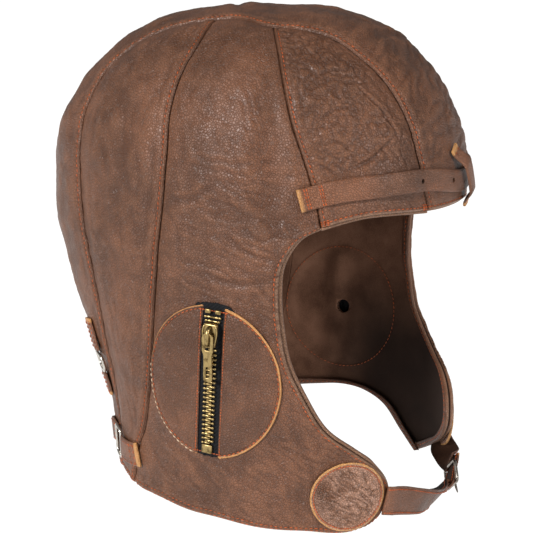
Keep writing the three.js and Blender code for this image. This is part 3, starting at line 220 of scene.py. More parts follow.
EDGES = {
    "right": {
        "seam_end": [(0.845, 0.350, 0.875), (0.802, 0.382, 0.943)],
        "face": [
            (0.840, -0.585, 0.387), (0.895, -0.493, 0.408), (0.936, -0.420, 0.458), (0.942, -0.406, 0.515),
            (0.936, -0.415, 0.573), (0.919, -0.444, 0.641), (0.872, -0.512, 0.710), (0.802, -0.589, 0.771),
            (0.698, -0.705, 0.817), (0.605, -0.783, 0.851), (0.523, -0.836, 0.893), (0.529, -0.826, 0.938),
            (0.590, -0.770, 0.966),
        ],
        "hem": [
            (0.802, 0.382, 0.943), (0.901, 0.224, 0.950), (0.942, 0.025, 0.962), (0.930, -0.164, 0.968),
            (0.826, -0.502, 0.979), (0.674, -0.686, 0.977), (0.590, -0.770, 0.966),
        ],
        "nape": [(0.600, 0.545, 0.945), (0.709, 0.473, 0.941), (0.802, 0.382, 0.943)],
    },
    "left": {
        "seam_end": [(0.855, 0.335, 0.860), (0.830, 0.360, 0.905)],
        "face": [
            (0.840, -0.585, 0.387), (0.875, -0.530, 0.430), (0.890, -0.512, 0.492), (0.893, -0.512, 0.553),
            (0.872, -0.531, 0.603), (0.849, -0.570, 0.656), (0.785, -0.640, 0.700), (0.698, -0.725, 0.740),
            (0.570, -0.821, 0.775), (0.465, -0.874, 0.813), (0.419, -0.889, 0.855), (0.512, -0.831, 0.905),
            (0.628, -0.744, 0.939), (0.735, -0.628, 0.968),
        ],
        "hem": [
            (0.830, 0.360, 0.905), (0.925, 0.190, 0.878), (0.953, -0.008, 0.863), (0.953, -0.145, 0.863),
            (0.930, -0.261, 0.868), (0.884, -0.386, 0.886), (0.814, -0.512, 0.931), (0.735, -0.628, 0.968),
        ],
        "nape": [(0.600, 0.545, 0.930), (0.720, 0.465, 0.917), (0.830, 0.360, 0.905)],
    },
}

# Broad hollows and creases of the leather: both ends, then shares of the width and the depth
HOLLOWS = [
    (-0.87, -0.30, 0.18, -0.94, -0.40, 0.39, 1.0, 1.0), (0.87, -0.30, 0.18, 0.94, -0.40, 0.39, 1.0, 0.9),
    (-0.80, 0.30, 0.16, -0.93, 0.38, 0.38, 0.9, 0.4), (0.80, 0.30, 0.16, 0.93, 0.38, 0.38, 0.9, 0.4),
]
CREASES = [
    (-0.95, -0.37, 0.48, -1.00, -0.03, 0.47, 1.0, 0.4), (-0.60, -0.70, 0.20, -0.78, -0.50, 0.26, 0.8, 0.3),
    (-0.45, -0.66, 0.11, -0.62, -0.68, 0.22, 0.8, 0.3), (0.62, -0.70, 0.18, 0.78, -0.48, 0.27, 0.8, 0.3),
]

# Creases of the panels: both ends as shares, then width, depth and bow in millimetres
FRONT_CREASES = [
    ((0.569, -0.657, 0.139), (0.507, -0.827, 0.216), 0.68, 1.9, 1),
    ((0.760, -0.669, 0.285), (0.507, -0.832, 0.221), 0.68, 1.8, -2),
    ((0.786, -0.538, 0.199), (0.634, -0.681, 0.178), 0.816, 1.5, 3),
    ((0.568, -0.732, 0.176), (0.507, -0.827, 0.216), 0.544, 1.2, 1),
    ((0.733, -0.698, 0.282), (0.611, -0.788, 0.253), 0.884, 1.5, -1),
    ((0.777, -0.599, 0.229), (0.721, -0.688, 0.251), 0.68, 1.1, 1),
    ((0.700, -0.500, 0.120), (0.560, -0.600, 0.110), 0.748, 1.4, 2),
    ((0.830, -0.520, 0.270), (0.760, -0.640, 0.300), 0.68, 1.1, 1),
]
SIDE_FOLDS = [
    ((0.780, -0.290, 0.120), (0.945, -0.380, 0.380), 6.0, 1.7, 3),
    ((0.945, -0.392, 0.482), (1.010, -0.031, 0.472), 1.5, 1.1, 4),
    ((0.942, -0.400, 0.448), (0.985, -0.150, 0.400), 1.4, 1.0, 3),
    ((0.927, -0.436, 0.528), (0.970, -0.300, 0.480), 1.3, 0.9, 2),
    ((0.990, 0.137, 0.349), (0.989, -0.104, 0.313), 1.8, 0.9, -3),
    ((0.877, -0.495, 0.710), (0.728, -0.675, 0.822), 2.0, 1.0, 2),
    ((0.900, -0.440, 0.720), (0.780, -0.560, 0.860), 2.2, 1.0, -2),
    ((0.940, 0.160, 0.800), (0.930, -0.080, 0.900), 2.4, 0.8, 3),
]
CROWN_FOLDS = [
    ((-0.30, -0.62, 0.055), (0.25, -0.70, 0.075), 2.6, 1.5, 4),
    ((-0.25, 0.05, 0.008), (0.30, 0.22, 0.020), 3.2, 1.2, 3),
]

# Section of the facing round an edge: way in from the edge and height, in millimetres, and how rubbed it is
FACING = [
    (0.9, -1.7, 1.9), (0.0, -1.5, 1.9), (-0.6, -1.9, 1.7), (-0.8, -2.7, 1.3), (-0.3, -3.5, 0),
    (0.7, -3.9, 0), (2.0, -3.7, 0), (3.2, -3.9, 0), (4.2, -3.75, 0), (4.5, -3.2, 0),
]
FACING_STITCHED = 6

# Outline of a zip pull: height over its hinge and half width, in millimetres
PULL_OUTLINE = [
    (1.6, 1.6), (0.9, 2.4), (0.3, 2.85), (-0.5, 3), (-2, 3), (-3.5, 3), (-5, 3), (-6.7, 3), (-7.2, 2.9),
    (-8.2, 2.5), (-9.2, 2.16), (-11, 2.16), (-13, 2.16), (-14.4, 2.2), (-15, 2.25), (-16, 2.3), (-18, 2.35),
    (-20.4, 2.4), (-21, 2.35), (-21.8, 2.1), (-22.4, 1.5),
]
PULL_THICK = 1.1 * MM
PULL_ACROSS = np.array([-1, -0.8, -0.42, 0, 0.42, 0.8, 1])
# Openings of a pull, the eye and the slot: half width, lower and upper end, in millimetres
PULL_OPENINGS = [(1.7, -6.6, 0.2), (0.9, -20.3, -15.1)]

# Stations across a strap, as shares of its half width, and how far its corners are drawn in
ACROSS = np.array([-1, -0.985, -0.93, -0.82, -0.6, -0.3, 0, 0.3, 0.6, 0.82, 0.93, 0.985, 1])
CORNERS = np.abs(ACROSS) ** 14

# Places of patches, straps and rings on the form, as shares; an edge is the way to a strap's upper edge
EAR_PLACE = (0.99, -0.080, 0.686)
BROW_STRAP_ROWS = [
    (0.888, -0.489, 0.337), (0.781, -0.652, 0.319), (0.674, -0.763, 0.314), (0.371, -0.938, 0.311),
    (0.000, -1.000, 0.325),
]
BROW_HOLES = [(0.405, -0.93, 0.311), (0.150, -1.0, 0.318)]
BROW_LOOP_ROWS = [(-0.100, -0.980, 0.262), (0.000, -1.000, 0.310), (0.080, -1.000, 0.374)]
CHIN_PLACES = {"right": (0.705, -0.680, 0.905), "left": (0.640, -0.745, 0.868)}
CHIN_ROOT = (0, 0.2, 0.45)
CHIN_ROOT_FALL = 0.24
CHIN_STRAP_ROWS = [
    ((-0.430, -0.876, 0.934), (0.05, -0.05, 1)), ((-0.279, -0.922, 0.952), (0, -0.3, 1)),
    ((-0.093, -0.932, 0.972), (0, -0.55, 0.9)), ((0.093, -0.908, 0.988), (-0.1, -0.7, 0.8)),
    ((0.267, -0.872, 0.998), (-0.25, -0.7, 0.7)), ((0.400, -0.835, 1.000), (-0.45, -0.66, 0.6)),
]
STRAP_TAIL = 4.5 * MM
FAR_STRAP_ROOT = [(0.20, 11 * MM), (0.34, CHIN_PATCH_RADIUS + 1 * MM)]
FAR_STRAP_OUT = np.array([0.43, -0.9, 0.0])
STRAP_STITCH = 1.4 * MM
STRAP_STITCH_RISE = 0.08 * MM
BAR_STITCH_SUNK = 0.12 * MM
NAPE_ROWS = [(0.860, 0.322, 0.870), (0.745, 0.455, 0.878), (0.465, 0.605, 0.872), (0.000, 0.670, 0.866)]
NAPE_RING = (0.700, 0.500, 0.876)
RETAINER_ROWS = [(0.690, 0.645, 0.622), (0.655, 0.590, 0.709), (0.620, 0.570, 0.780)]

CENTRE = np.array([0, 0.04 * FRONT_REACH, -0.4 * HEIGHT + SEAT])
UP = np.array([0.0, 0.0, 1.0])


def smooth(low, high, value):
    """From 0 below low to 1 above high, with soft ends."""
    share = np.clip((value - low) / (high - low), 0, 1)
    return share * share * (3 - 2 * share)


def bell(gap, width):
    """1 at a gap of 0, with soft sides that reach 0 at about twice the width."""
    return np.exp(-(gap / width) ** 2)


def length_of(vectors):
    return np.linalg.norm(vectors, axis=-1)


def unit(vectors):
    return vectors / np.maximum(length_of(vectors)[..., None], 1e-12)


def monotone(xs, ys, at):
    """Monotone cubic interpolation, which keeps the crown round and the sides fair."""
    slope = np.diff(ys) / np.diff(xs)
    step = np.diff(xs)
    tangent = np.concatenate([slope[:1], np.zeros(len(xs) - 2), slope[-1:]])
    for i in range(1, len(xs) - 1):
        if slope[i - 1] * slope[i] > 0:
            before, after = step[i - 1], step[i]
            weights = (2 * after + before) / slope[i - 1] + (after + 2 * before) / slope[i]
            tangent[i] = 3 * (before + after) / weights
    i = np.clip(np.searchsorted(xs, at) - 1, 0, len(xs) - 2)
    t = (at - xs[i]) / step[i]
    start = (1 + 2 * t) * (1 - t) ** 2 * ys[i] + t * t * (3 - 2 * t) * ys[i + 1]
    return start + step[i] * (t * (1 - t) ** 2 * tangent[i] + t * t * (t - 1) * tangent[i + 1])


DEPTHS = np.linspace(0, SECTIONS[-1, 0], 6001)
SQUARES = [monotone(SECTIONS[:, 0], SECTIONS[:, k] ** 2, DEPTHS) for k in (1, 2, 3)]


def outside(p):
    """Below zero inside the head form, above zero outside."""
    down = SEAT - p[..., 2]
    half, front, back = (np.sqrt(np.maximum(np.interp(down / HEIGHT, DEPTHS, s), 1e-9)) for s in SQUARES)
    along = np.where(p[..., 1] < 0, FRONT_REACH * front, BACK_REACH * back)
    value = (np.abs(p[..., 0]) / (HALF_WIDTH * half)) ** ROUNDNESS + (np.abs(p[..., 1]) / along) ** ROUNDNESS - 1
    return np.where(down < 1e-9, 1.0, value)


def crossing(start, direction, low, high):
    """Where rays leave the form, found by halving."""
    low = np.full(start.shape[:-1], float(low))
    high = np.full(start.shape[:-1], float(high))
    for _ in range(34):
        mid = (low + high) / 2
        beyond = outside(start + direction * mid[..., None]) > 0
        high = np.where(beyond, mid, high)
        low = np.where(beyond, low, mid)
    return start + direction * ((low + high) / 2)[..., None]


def on_form(p):
    """The form on the ray from the centre through each point."""
    p = np.asarray(p, float)
    return crossing(np.broadcast_to(CENTRE, p.shape), unit(p - CENTRE), 0, BACK_REACH + HEIGHT)


def form_normal(p):
    step = 0.05 * MM
    rises = []
    for axis in np.eye(3):
        before, after = p - axis * step, p + axis * step
        before[..., 2] = np.minimum(before[..., 2], SEAT - 2e-9)
        after[..., 2] = np.minimum(after[..., 2], SEAT - 2e-9)
        rises.append(outside(after) - outside(before))
    normal = unit(np.stack(rises, axis=-1))
    return np.where((p[..., 2] > SEAT - 0.4 * MM)[..., None], UP, normal)


def place(row, mirror=1):
    reach = FRONT_REACH if row[1] < 0 else BACK_REACH
    return np.array([row[0] * HALF_WIDTH * mirror, row[1] * reach, SEAT - row[2] * HEIGHT])


def places(rows, mirror=1):
    return np.array([place(row, mirror) for row in rows])


def right_to_left(rows):
    """Places that run from the right to the middle, and on to their mirror images."""
    return np.concatenate([places(rows, RIGHT), places(rows[:-1], LEFT)[::-1]])


def curve_points(points, per_span=40):
    """Closely spaced points of a smooth curve through a few places."""
    points = np.asarray(points, float)
    ends = [2 * points[0] - points[1], *points, 2 * points[-1] - points[-2]]
    out = []
    for i in range(1, len(ends) - 2):
        p0, p1, p2, p3 = ends[i - 1:i + 3]
        d0, d1, d2 = (max(np.linalg.norm(b - a) ** 0.5, 1e-4) for a, b in ((p0, p1), (p1, p2), (p2, p3)))
        m1 = ((p1 - p0) / d0 - (p2 - p0) / (d0 + d1) + (p2 - p1) / d1) * d1
        m2 = ((p2 - p1) / d1 - (p3 - p1) / (d1 + d2) + (p3 - p2) / d2) * d1
        t = np.linspace(0, 1, per_span, endpoint=i == len(ends) - 3)[:, None]
        cubic = (2 * t ** 3 - 3 * t ** 2 + 1) * p1 + (t ** 3 - 2 * t ** 2 + t) * m1
        out.append(cubic + (3 * t ** 2 - 2 * t ** 3) * p2 + (t ** 3 - t ** 2) * m2)
    return np.concatenate(out)


def run_length(points):
    return np.concatenate([[0], np.cumsum(length_of(np.diff(points, axis=0)))])


def at_length(points, lengths, run=None):
    """Points of a polyline at given lengths along it."""
    run = run_length(points) if run is None else run
    return np.stack([np.interp(lengths, run, points[:, k]) for k in range(points.shape[1])], axis=-1)


def trace(rows, shares, mirror=1):
    """A seam or edge on the form, at shares of its length."""
    line = curve_points(places(rows, mirror))
    return on_form(at_length(line, np.asarray(shares) * run_length(line)[-1]))


def joined(parts, shares):
    """Borders end to end, each taking its own stretch of the shares."""
    points = np.zeros((len(shares), 3))
    start = 0.0
    for rows, mirror, stretch, backwards in parts:
        inside = (shares >= start - 1e-9) & (shares <= start + stretch + 1e-9)
        local = np.clip((shares[inside] - start) / stretch, 0, 1)
        points[inside] = trace(rows, 1 - local if backwards else local, mirror)
        start += stretch
    return points


def gap_to(p, a, b):
    """Distance from points to a line between two places, and the share of the way along it."""
    along = b - a
    share = np.clip((p - a) @ along / (along @ along), 0, 1)
    return length_of(p - a - share[..., None] * along), share


SEAM_LINES = [
    trace(rows, np.linspace(0, 1, 15), mirror)
    for mirror in (-1, 1)
    for rows in (CROWN_SEAM_FRONT, CROWN_SEAM_TOP, CROWN_SEAM_BACK, FRONT_SEAM, REAR_SEAM)
]


def folds_of(rows, width, depth):
    return [(on_form(place(row[:3])), on_form(place(row[3:6])), row[6] * width, row[7] * depth) for row in rows]


FOLDS = folds_of(HOLLOWS, HOLLOW_WIDTH, HOLLOW_DEPTH) + folds_of(CREASES, CREASE_WIDTH, CREASE_DEPTH)


def relief(p):
    """Broad relief of the leather over the form: dips at the seams, puffed panels and folds."""
    flat = p.reshape(-1, 3)
    near = np.full(len(flat), np.inf)
    for line in SEAM_LINES:
        for a, b in zip(line[:-1], line[1:]):
            near = np.minimum(near, gap_to(flat, a, b)[0])
    rise = PANEL_PUFF * (1 - np.exp(-near / (2 * SEAM_DIP_WIDTH))) - SEAM_DIP * bell(near, SEAM_DIP_WIDTH)
    for a, b, wide, deep in FOLDS:
        gap, share = gap_to(flat, a, b)
        rise -= deep * bell(gap, wide) * (0.4 + 0.6 * np.sin(np.pi * share))
    around = (flat[:, 0] ** 2 + flat[:, 1] ** 2) / (30 * MM) ** 2
    rise *= 1 - np.exp(-around) * np.exp((flat[:, 2] - SEAT) / (20 * MM))
    return rise.reshape(p.shape[:-1])


# Gradient noise, the same on every run
TABLE = np.random.default_rng(7)
ORDER = TABLE.permutation(256)
SLOPES = unit(TABLE.normal(size=(256, 3)))


def noise(p, seed=0):
    """Smooth noise from about -1 to 1 at points given in cells."""
    cell = np.floor(p).astype(int)
    inside = p - cell
    fade = inside ** 3 * (inside * (inside * 6 - 15) + 10)
    total = np.zeros(p.shape[:-1])
    for corner in np.ndindex(2, 2, 2):
        x, y, z = np.moveaxis(cell + corner, -1, 0)
        pick = ORDER[(ORDER[(ORDER[(x + seed * 37) & 255] + y) & 255] + z) & 255]
        weight = np.prod(np.where(corner, fade, 1 - fade), axis=-1)
        total += weight * np.sum(SLOPES[pick] * (inside - corner), axis=-1)
    return total * 1.7


def stretched(p, direction, long, short):
    """Points in cells that are long one way and short across it."""
    direction = unit(np.asarray(direction, float))
    along = (p @ direction)[..., None] * direction
    return along / long + (p - along) / short


def furrows(p, direction, long, short, seed, sharp=3):
    """Thin furrows between soft pillows, running mostly one way: 0 on a pillow, -1 in a furrow."""
    bent = p + 0.5 * short * np.stack([noise(p / (2.5 * short), seed + k) for k in (11, 12, 13)], axis=-1)
    return -(1 - np.minimum(np.abs(noise(stretched(bent, direction, long, short), seed)), 1)) ** sharp


# Grids of the panels, finer near their seams and edges
NEAR_EDGE = np.array([0, 0.35, 0.75, 1.2, 1.6, 2.0, 2.4, 2.9, 3.6, 4.5, 5.8]) * MM
SEAM_CELLS, TOP_CELLS, BACK_CELLS = 7, 8, 18
CROWN_CELLS = SEAM_CELLS + TOP_CELLS + BACK_CELLS
FACE_FROM = SEAM_CELLS / BACK_CELLS
WHOLE = (-1, 2)


def spread(length, step, ends=(True, True)):
    """Shares of a length: close together near its ends and even between them."""
    first = NEAR_EDGE if ends[0] else np.zeros(1)
    last = length - NEAR_EDGE[::-1] if ends[1] else np.array([length])
    count = max(int(round((last[0] - first[-1]) / step)), 1)
    return np.concatenate([first, np.linspace(first[-1], last[0], count + 1)[1:-1], last]) / length


def coons(first, last, left, right, v, u):
    """Points over four borders, laid on the form."""
    u, v = u[None, :, None], v[:, None, None]
    p = first[None] * (1 - v) + last[None] * v + left[:, None] * (1 - u) + right[:, None] * u
    p = p - first[0] * (1 - u) * (1 - v) - first[-1] * u * (1 - v) - last[0] * (1 - u) * v - last[-1] * u * v
    return on_form(p)


def line_length(rows, mirror=1):
    return run_length(curve_points(places(rows, mirror)))[-1]


class Panel:
    """A cut piece of the shell: its grid on the form, the way to each border and its relief."""

    def __init__(self, grid, v, u):
        self.grid, self.v, self.u = grid, v, u
        self.normals = form_normal(grid)
        across = length_of(np.diff(grid, axis=1))
        down = length_of(np.diff(grid, axis=0))
        zero_column, zero_row = np.zeros((len(grid), 1)), np.zeros((1, grid.shape[1]))
        from_left = np.concatenate([zero_column, np.cumsum(across, axis=1)], axis=1)
        from_first = np.concatenate([zero_row, np.cumsum(down, axis=0)], axis=0)
        self.gaps = {
            "left": from_left, "right": from_left[:, -1:] - from_left,
            "first": from_first, "last": from_first[-1:] - from_first,
        }
        self.runs = {"left": from_first, "right": from_first, "first": from_left, "last": from_left}
        self.rise = relief(grid)
        self.rubbed = np.zeros(self.rise.shape)

    def shape(self, borders):
        """Adds what each border does to the leather: rolled edges, welts, valleys and puckers."""
        for seed, (border, kind, start, end) in enumerate(borders):
            share = self.v[:, None] if border in ("left", "right") else self.u[None, :]
            mask = smooth(start - 0.012, start + 0.003, share) * (1 - smooth(end - 0.003, end + 0.012, share))
            self.rise = self.rise + mask * border_relief(kind, self.gaps[border], self.runs[border], seed)
            if kind in ("edge", "hem"):
                self.rubbed = np.maximum(self.rubbed, mask * bell(self.gaps[border], RUBBED_WIDTH))
        return self

    @property
    def skin(self):
        return self.grid + self.normals * self.rise[..., None]

    def rows_from(self, border, grid, start, end):
        """Rows of the panel that run in from a stretch of a border: distances, points and normals."""
        gaps, normals, share = self.gaps[border], self.normals, self.v
        if border in ("first", "last"):
            gaps, grid, normals, share = gaps.T, grid.swapaxes(0, 1), normals.swapaxes(0, 1), self.u
        for i in np.flatnonzero((share >= start) & (share <= end)):
            order = slice(None) if gaps[i, 0] < gaps[i, -1] else slice(None, None, -1)
            yield gaps[i, order], grid[i, order], normals[i, order]

    def line(self, border, inset, start=0.0, end=1.0):
        """A line on the leather beside a border, with its normals."""
        points, ways = [], []
        for gaps, skin, normals in self.rows_from(border, self.skin, start, end):
            if gaps.max() > 2.5 * inset:
                points.append(at_length(skin, inset, gaps))
                ways.append(at_length(normals, inset, gaps))
        return np.array(points), unit(np.array(ways))


def border_relief(kind, gap, run, seed):
    """Height that a seam or edge adds to the leather at a distance from it."""
    at = np.stack([run / (5.5 * MM), gap / (9 * MM), np.full(gap.shape, 3.7 * seed)], axis=-1)
    pucker = sum(height * np.exp(-gap / reach) * smooth(0, begin, gap) * noise(at * finer, pattern)
                 for height, reach, begin, finer, pattern in PUCKERS)
    stitch = 1 + 0.3 * np.cos(2 * np.pi * run / STITCH_PITCH)
    if kind == "plain":
        return pucker - VALLEY * bell(gap, 0.6 * MM) - 0.25 * MM * bell(gap, 2.5 * MM)
    if kind == "welt":
        welt = WELT * (smooth(0.1 * MM, 1.0 * MM, gap) - smooth(4.5 * MM, 7.5 * MM, gap))
        groove = 0.5 * MM * bell(gap - STITCH_IN, 0.55 * MM) * stitch
        return pucker + welt - groove - VALLEY * bell(gap, 0.5 * MM)
    turned = 1 - np.clip(gap / EDGE_ROLL, 0, 1)
    roll = EDGE_ROLL * (1 - np.sqrt(np.maximum(1 - turned ** 2, 0)))
    swell = 0.35 * MM * (smooth(0.5 * MM, 1.6 * MM, gap) - smooth(5 * MM, 8 * MM, gap))
    insets = HEM_STITCHES if kind == "hem" else (STITCH_IN,)
    for inset in insets:
        swell = swell - 0.4 * MM * bell(gap - inset, 0.5 * MM) * stitch
    return 1.3 * pucker + swell - roll


def cut_panel(first, last, left, right, v, u, borders):
    return Panel(coons(first, last, left, right, v, u), v, u).shape(borders)


def make_panels():
    panels = {}
    for side, mirror in SIDES.items():
        edge = EDGES[side]
        rear_rows = REAR_SEAM + edge["seam_end"]
        back_rows = CROWN_SEAM_BACK[:-1] + [edge["nape"][0]]
        rear_length = line_length(rear_rows)
        side_v, side_u = spread(rear_length, SIDE_STEP), spread(SIDE_SPAN, SIDE_STEP)
        rear_v, rear_u = spread(rear_length, REAR_STEP, (False, True)), spread(REAR_SPAN, REAR_STEP)
        front_v = spread(line_length(FRONT_SEAM), FRONT_STEP, (False, True))
        front_u = spread(line_length(BROW_EDGE), FRONT_STEP)
        front_border = [(FRONT_SEAM, mirror, FACE_FROM, False), (edge["face"], mirror, 1 - FACE_FROM, False)]
        front_tip, rear_tip = (on_form(place(seam[0], mirror)) for seam in (FRONT_SEAM, REAR_SEAM))
        panels[f"side_{side}"] = cut_panel(
            trace(CROWN_SEAM_TOP, side_u, mirror), trace(edge["hem"], side_u, mirror),
            trace(rear_rows, side_v, mirror), joined(front_border, side_v), side_v, side_u,
            [("first", "plain", *WHOLE), ("left", "plain", *WHOLE), ("right", "plain", -1, FACE_FROM),
             ("right", "edge", FACE_FROM, 2), ("last", "hem", *WHOLE)],
        )
        panels[f"front_{side}"] = cut_panel(
            np.broadcast_to(front_tip, (len(front_u), 3)), trace(BROW_EDGE, front_u, mirror),
            trace(FRONT_SEAM, front_v, mirror), trace(CROWN_SEAM_FRONT, front_v, mirror), front_v, front_u,
            [("left", "welt", *WHOLE), ("right", "plain", *WHOLE), ("last", "edge", *WHOLE)],
        )
        panels[f"rear_{side}"] = cut_panel(
            np.broadcast_to(rear_tip, (len(rear_u), 3)), trace(edge["nape"], rear_u, mirror),
            trace(back_rows, rear_v, mirror), trace(rear_rows, rear_v, mirror), rear_v, rear_u,
            [("left", "plain", *WHOLE), ("right", "welt", *WHOLE), ("last", "hem", *WHOLE)],
        )
    panels["crown"] = crown_panel()
    return panels


def crown_borders(side, shares):
    mirror = SIDES[side]
    back_rows = CROWN_SEAM_BACK[:-1] + [EDGES[side]["nape"][0]]
    return joined([
        (CROWN_SEAM_FRONT, mirror, SEAM_CELLS / CROWN_CELLS, True),
        (CROWN_SEAM_TOP, mirror, TOP_CELLS / CROWN_CELLS, True),
        (back_rows, mirror, BACK_CELLS / CROWN_CELLS, False),
    ], shares)


def crown_front(u):
    ends = [on_form(place(CROWN_SEAM_FRONT[-1], mirror)) for mirror in (RIGHT, LEFT)]
    return on_form(ends[0] * (1 - u[:, None]) + ends[1] * u[:, None])


def nape_line(shares):
    line = [place(EDGES["right"]["nape"][0], RIGHT), place(NAPE_MIDDLE), place(EDGES["left"]["nape"][0], LEFT)]
    line = curve_points(line)
    return on_form(at_length(line, shares * run_length(line)[-1]))


def crown_panel():
    lengths = [line_length(rows) for rows in (CROWN_SEAM_FRONT, CROWN_SEAM_TOP, CROWN_SEAM_BACK)]
    cells = np.cumsum([0, SEAM_CELLS, TOP_CELLS, BACK_CELLS]) / CROWN_CELLS
    total = sum(lengths)
    v = np.interp(spread(total, CROWN_STEPS[0]) * total, np.cumsum([0] + lengths), cells)
    u = spread(CROWN_SPAN, CROWN_STEPS[1])
    return cut_panel(
        crown_front(u), nape_line(u), crown_borders("right", v), crown_borders("left", v), v, u,
        [("left", "welt", *WHOLE), ("right", "welt", *WHOLE), ("first", "edge", *WHOLE), ("last", "hem", *WHOLE)],
    )


# Wrinkles; each set of furrows has its way, length, width and seed
def blob(p, row, radius, mirror=1):
    """1 at a place on the form, fading to 0 over a radius."""
    return bell(length_of(p - on_form(place(row, mirror))), radius)


def crease(p, start, end, width, depth, mirror=1, bow=0.0):
    """A single sharp crease with a raised lip, between two places."""
    a, b = on_form(place(start, mirror)), on_form(place(end, mirror))
    share = np.clip((p - a) @ (b - a) / ((b - a) @ (b - a)), 0, 1)
    side = unit(np.cross(form_normal(((a + b) / 2)[None])[0], b - a))
    middle = a + share[..., None] * (b - a) + bow * np.sin(np.pi * share)[..., None] * side
    out = unit(p - CENTRE)
    beside = p - middle
    gap = length_of(beside - np.sum(beside * out, axis=-1, keepdims=True) * out)
    gap = gap + 0.3 * width * noise(p / (4 * MM), 8)
    return depth * np.sin(np.pi * np.clip(share * 0.94 + 0.03, 0, 1)) * (
        CREASE_LIP * bell(gap - 1.8 * width, width) - bell(gap, width)
    )


def creases(p, rows, mirror):
    return sum(crease(p, start, end, width * MM, depth * MM, mirror, bow * MM)
               for start, end, width, depth, bow in rows)


def wrinkle(panels):
    """The softness, furrows and creases that long use has put in the leather."""
    for name, panel in panels.items():
        p = panel.grid
        before = panel.rise.copy()
        away = smooth(0, 9 * MM, np.minimum.reduce(list(panel.gaps.values())))
        soft = 0.55 * MM * noise(p / (17 * MM), 1) + 0.22 * MM * noise(p / (7 * MM), 2)
        panel.rise = panel.rise + (0.35 + 0.65 * away) * soft
        mirror = RIGHT if "right" in name else LEFT
        if name.startswith("front"):
            slope = furrows(p, (0.55 * mirror, -0.65, 0.55), 34 * MM, 3.6 * MM, 21)
            cross = furrows(p, (0.3 * mirror, 0.4, 0.85), 26 * MM, 5.0 * MM, 22, 5)
            panel.rise += (0.3 + 0.7 * away) * (0.95 * MM * slope + 0.3 * MM * cross)
            panel.rise += creases(p, FRONT_CREASES, mirror)
        elif name.startswith("side"):
            fan = furrows(p, (0.1 * mirror, 0.95, 0.22), 28 * MM, 3.8 * MM, 31)
            where = blob(p, (1.0, -0.25, 0.46), 42 * MM, mirror) + 0.6 * blob(p, (0.95, -0.30, 0.28), 30 * MM, mirror)
            panel.rise += 0.85 * MM * fan * np.minimum(where, 1)
            cheek = furrows(p, (-0.35 * mirror, -0.75, -0.5), 26 * MM, 3.4 * MM, 32)
            low = blob(p, (0.85, -0.50, 0.84), 44 * MM, mirror) + 0.7 * blob(p, (0.9, 0.1, 0.90), 36 * MM, mirror)
            panel.rise += 0.8 * MM * cheek * np.minimum(low, 1)
            panel.rise += 0.35 * MM * furrows(p, (0, 0.3, 1), 30 * MM, 6 * MM, 33) * away
            panel.rise += creases(p, SIDE_FOLDS, mirror) * away
        elif name.startswith("rear"):
            panel.rise += 0.40 * MM * furrows(p, (0, 0.15, 1), 34 * MM, 7 * MM, 41) * away
            middle = blob(p, (0.93, 0.35, 0.42), 34 * MM, mirror)
            panel.rise += 0.45 * MM * furrows(p, (0.2, 0.9, -0.35), 15 * MM, 5 * MM, 42) * middle
        else:
            front = smooth(-20 * MM, -70 * MM, p[..., 1])
            panel.rise += 0.95 * MM * furrows(p, (0.9, 0.2, 0.3), 20 * MM, 5 * MM, 51) * away * (0.35 + 0.65 * front)
            panel.rise += 0.9 * MM * noise(p / (26 * MM), 52) * away
            panel.rise += creases(p, CROWN_FOLDS, 1)
        change = (panel.rise - before) * calm(p)
        panel.rise = before + np.where(change < 0, DEEPEST * np.tanh(change / DEEPEST), change)


# Pieces made of grids laid on rows of points
def add_object(name, data):
    thing = bpy.data.objects.new(name, data)
    bpy.context.scene.collection.objects.link(thing)
    return thing


def mesh_of(name, bm):
    mesh = bpy.data.meshes.new(name)
    bm.to_mesh(mesh)
    bm.free()
    return mesh


def lay(points, marks=None, ring=False, loop=False, caps=False):
    """A grid laid on rows of points; ring joins the last column to the first, loop the last row."""
    marks = dict(marks or {})
    values = [np.asarray(points, float)] + [np.asarray(m, float)[..., None] for m in marks.values()]
    if ring:
        values = [np.concatenate([v, v[:, :1]], axis=1) for v in values]
    if loop:
        values = [np.concatenate([v, v[:1]], axis=0) for v in values]
    rows, columns = values[0].shape[:2]
    bm = bmesh.new()
    layers = [bm.verts.layers.float.new(key) for key in marks]
    bmesh.ops.create_grid(bm, x_segments=columns - 1, y_segments=rows - 1, size=0.5)
    for vert, co in zip(bm.verts, values[0].reshape(-1, 3).tolist()):
        vert.co = co
    for layer, value in zip(layers, values[1:]):
        for vert, number in zip(bm.verts, value.ravel().tolist()):
            vert[layer] = number
    bmesh.ops.remove_doubles(bm, verts=bm.verts, dist=0.5e-6)
    if caps:
        bmesh.ops.holes_fill(bm, edges=[e for e in bm.edges if e.is_boundary], sides=columns)
    return bm


def face_out(bm, away_from=None):
    """Turns an open sheet so that its faces look away from a point, or a closed one outwards."""
    bm.normal_update()
    if away_from is None:
        bmesh.ops.recalc_face_normals(bm, faces=bm.faces)
        return bm
    faces = list(bm.faces)[:: max(len(bm.faces) // 400, 1)]
    point = Vector(away_from)
    if sum((f.calc_center_median() - point).normalized().dot(f.normal) for f in faces) < 0:
        bmesh.ops.reverse_faces(bm, faces=bm.faces)
    return bm


def piece(name, bm, material, body="root", replaces=()):
    """Makes the bmesh a piece of the scene that rides on a body."""
    mesh = mesh_of(name, bm)
    for face in mesh.polygons:
        face.use_smooth = True
    for one in material if isinstance(material, (list, tuple)) else [material]:
        mesh.materials.append(one)
    thing = add_object(name, mesh)
    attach(thing, body)
    if replaces:
        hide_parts(*replaces)
    return thing


def thicken(thing, thickness, offset=-1):
    """Gives a sheet its thickness: inwards at -1, both ways at 0."""
    solid = thing.modifiers.new("thickness", "SOLIDIFY")
    solid.thickness = thickness
    solid.offset = offset
    return thing


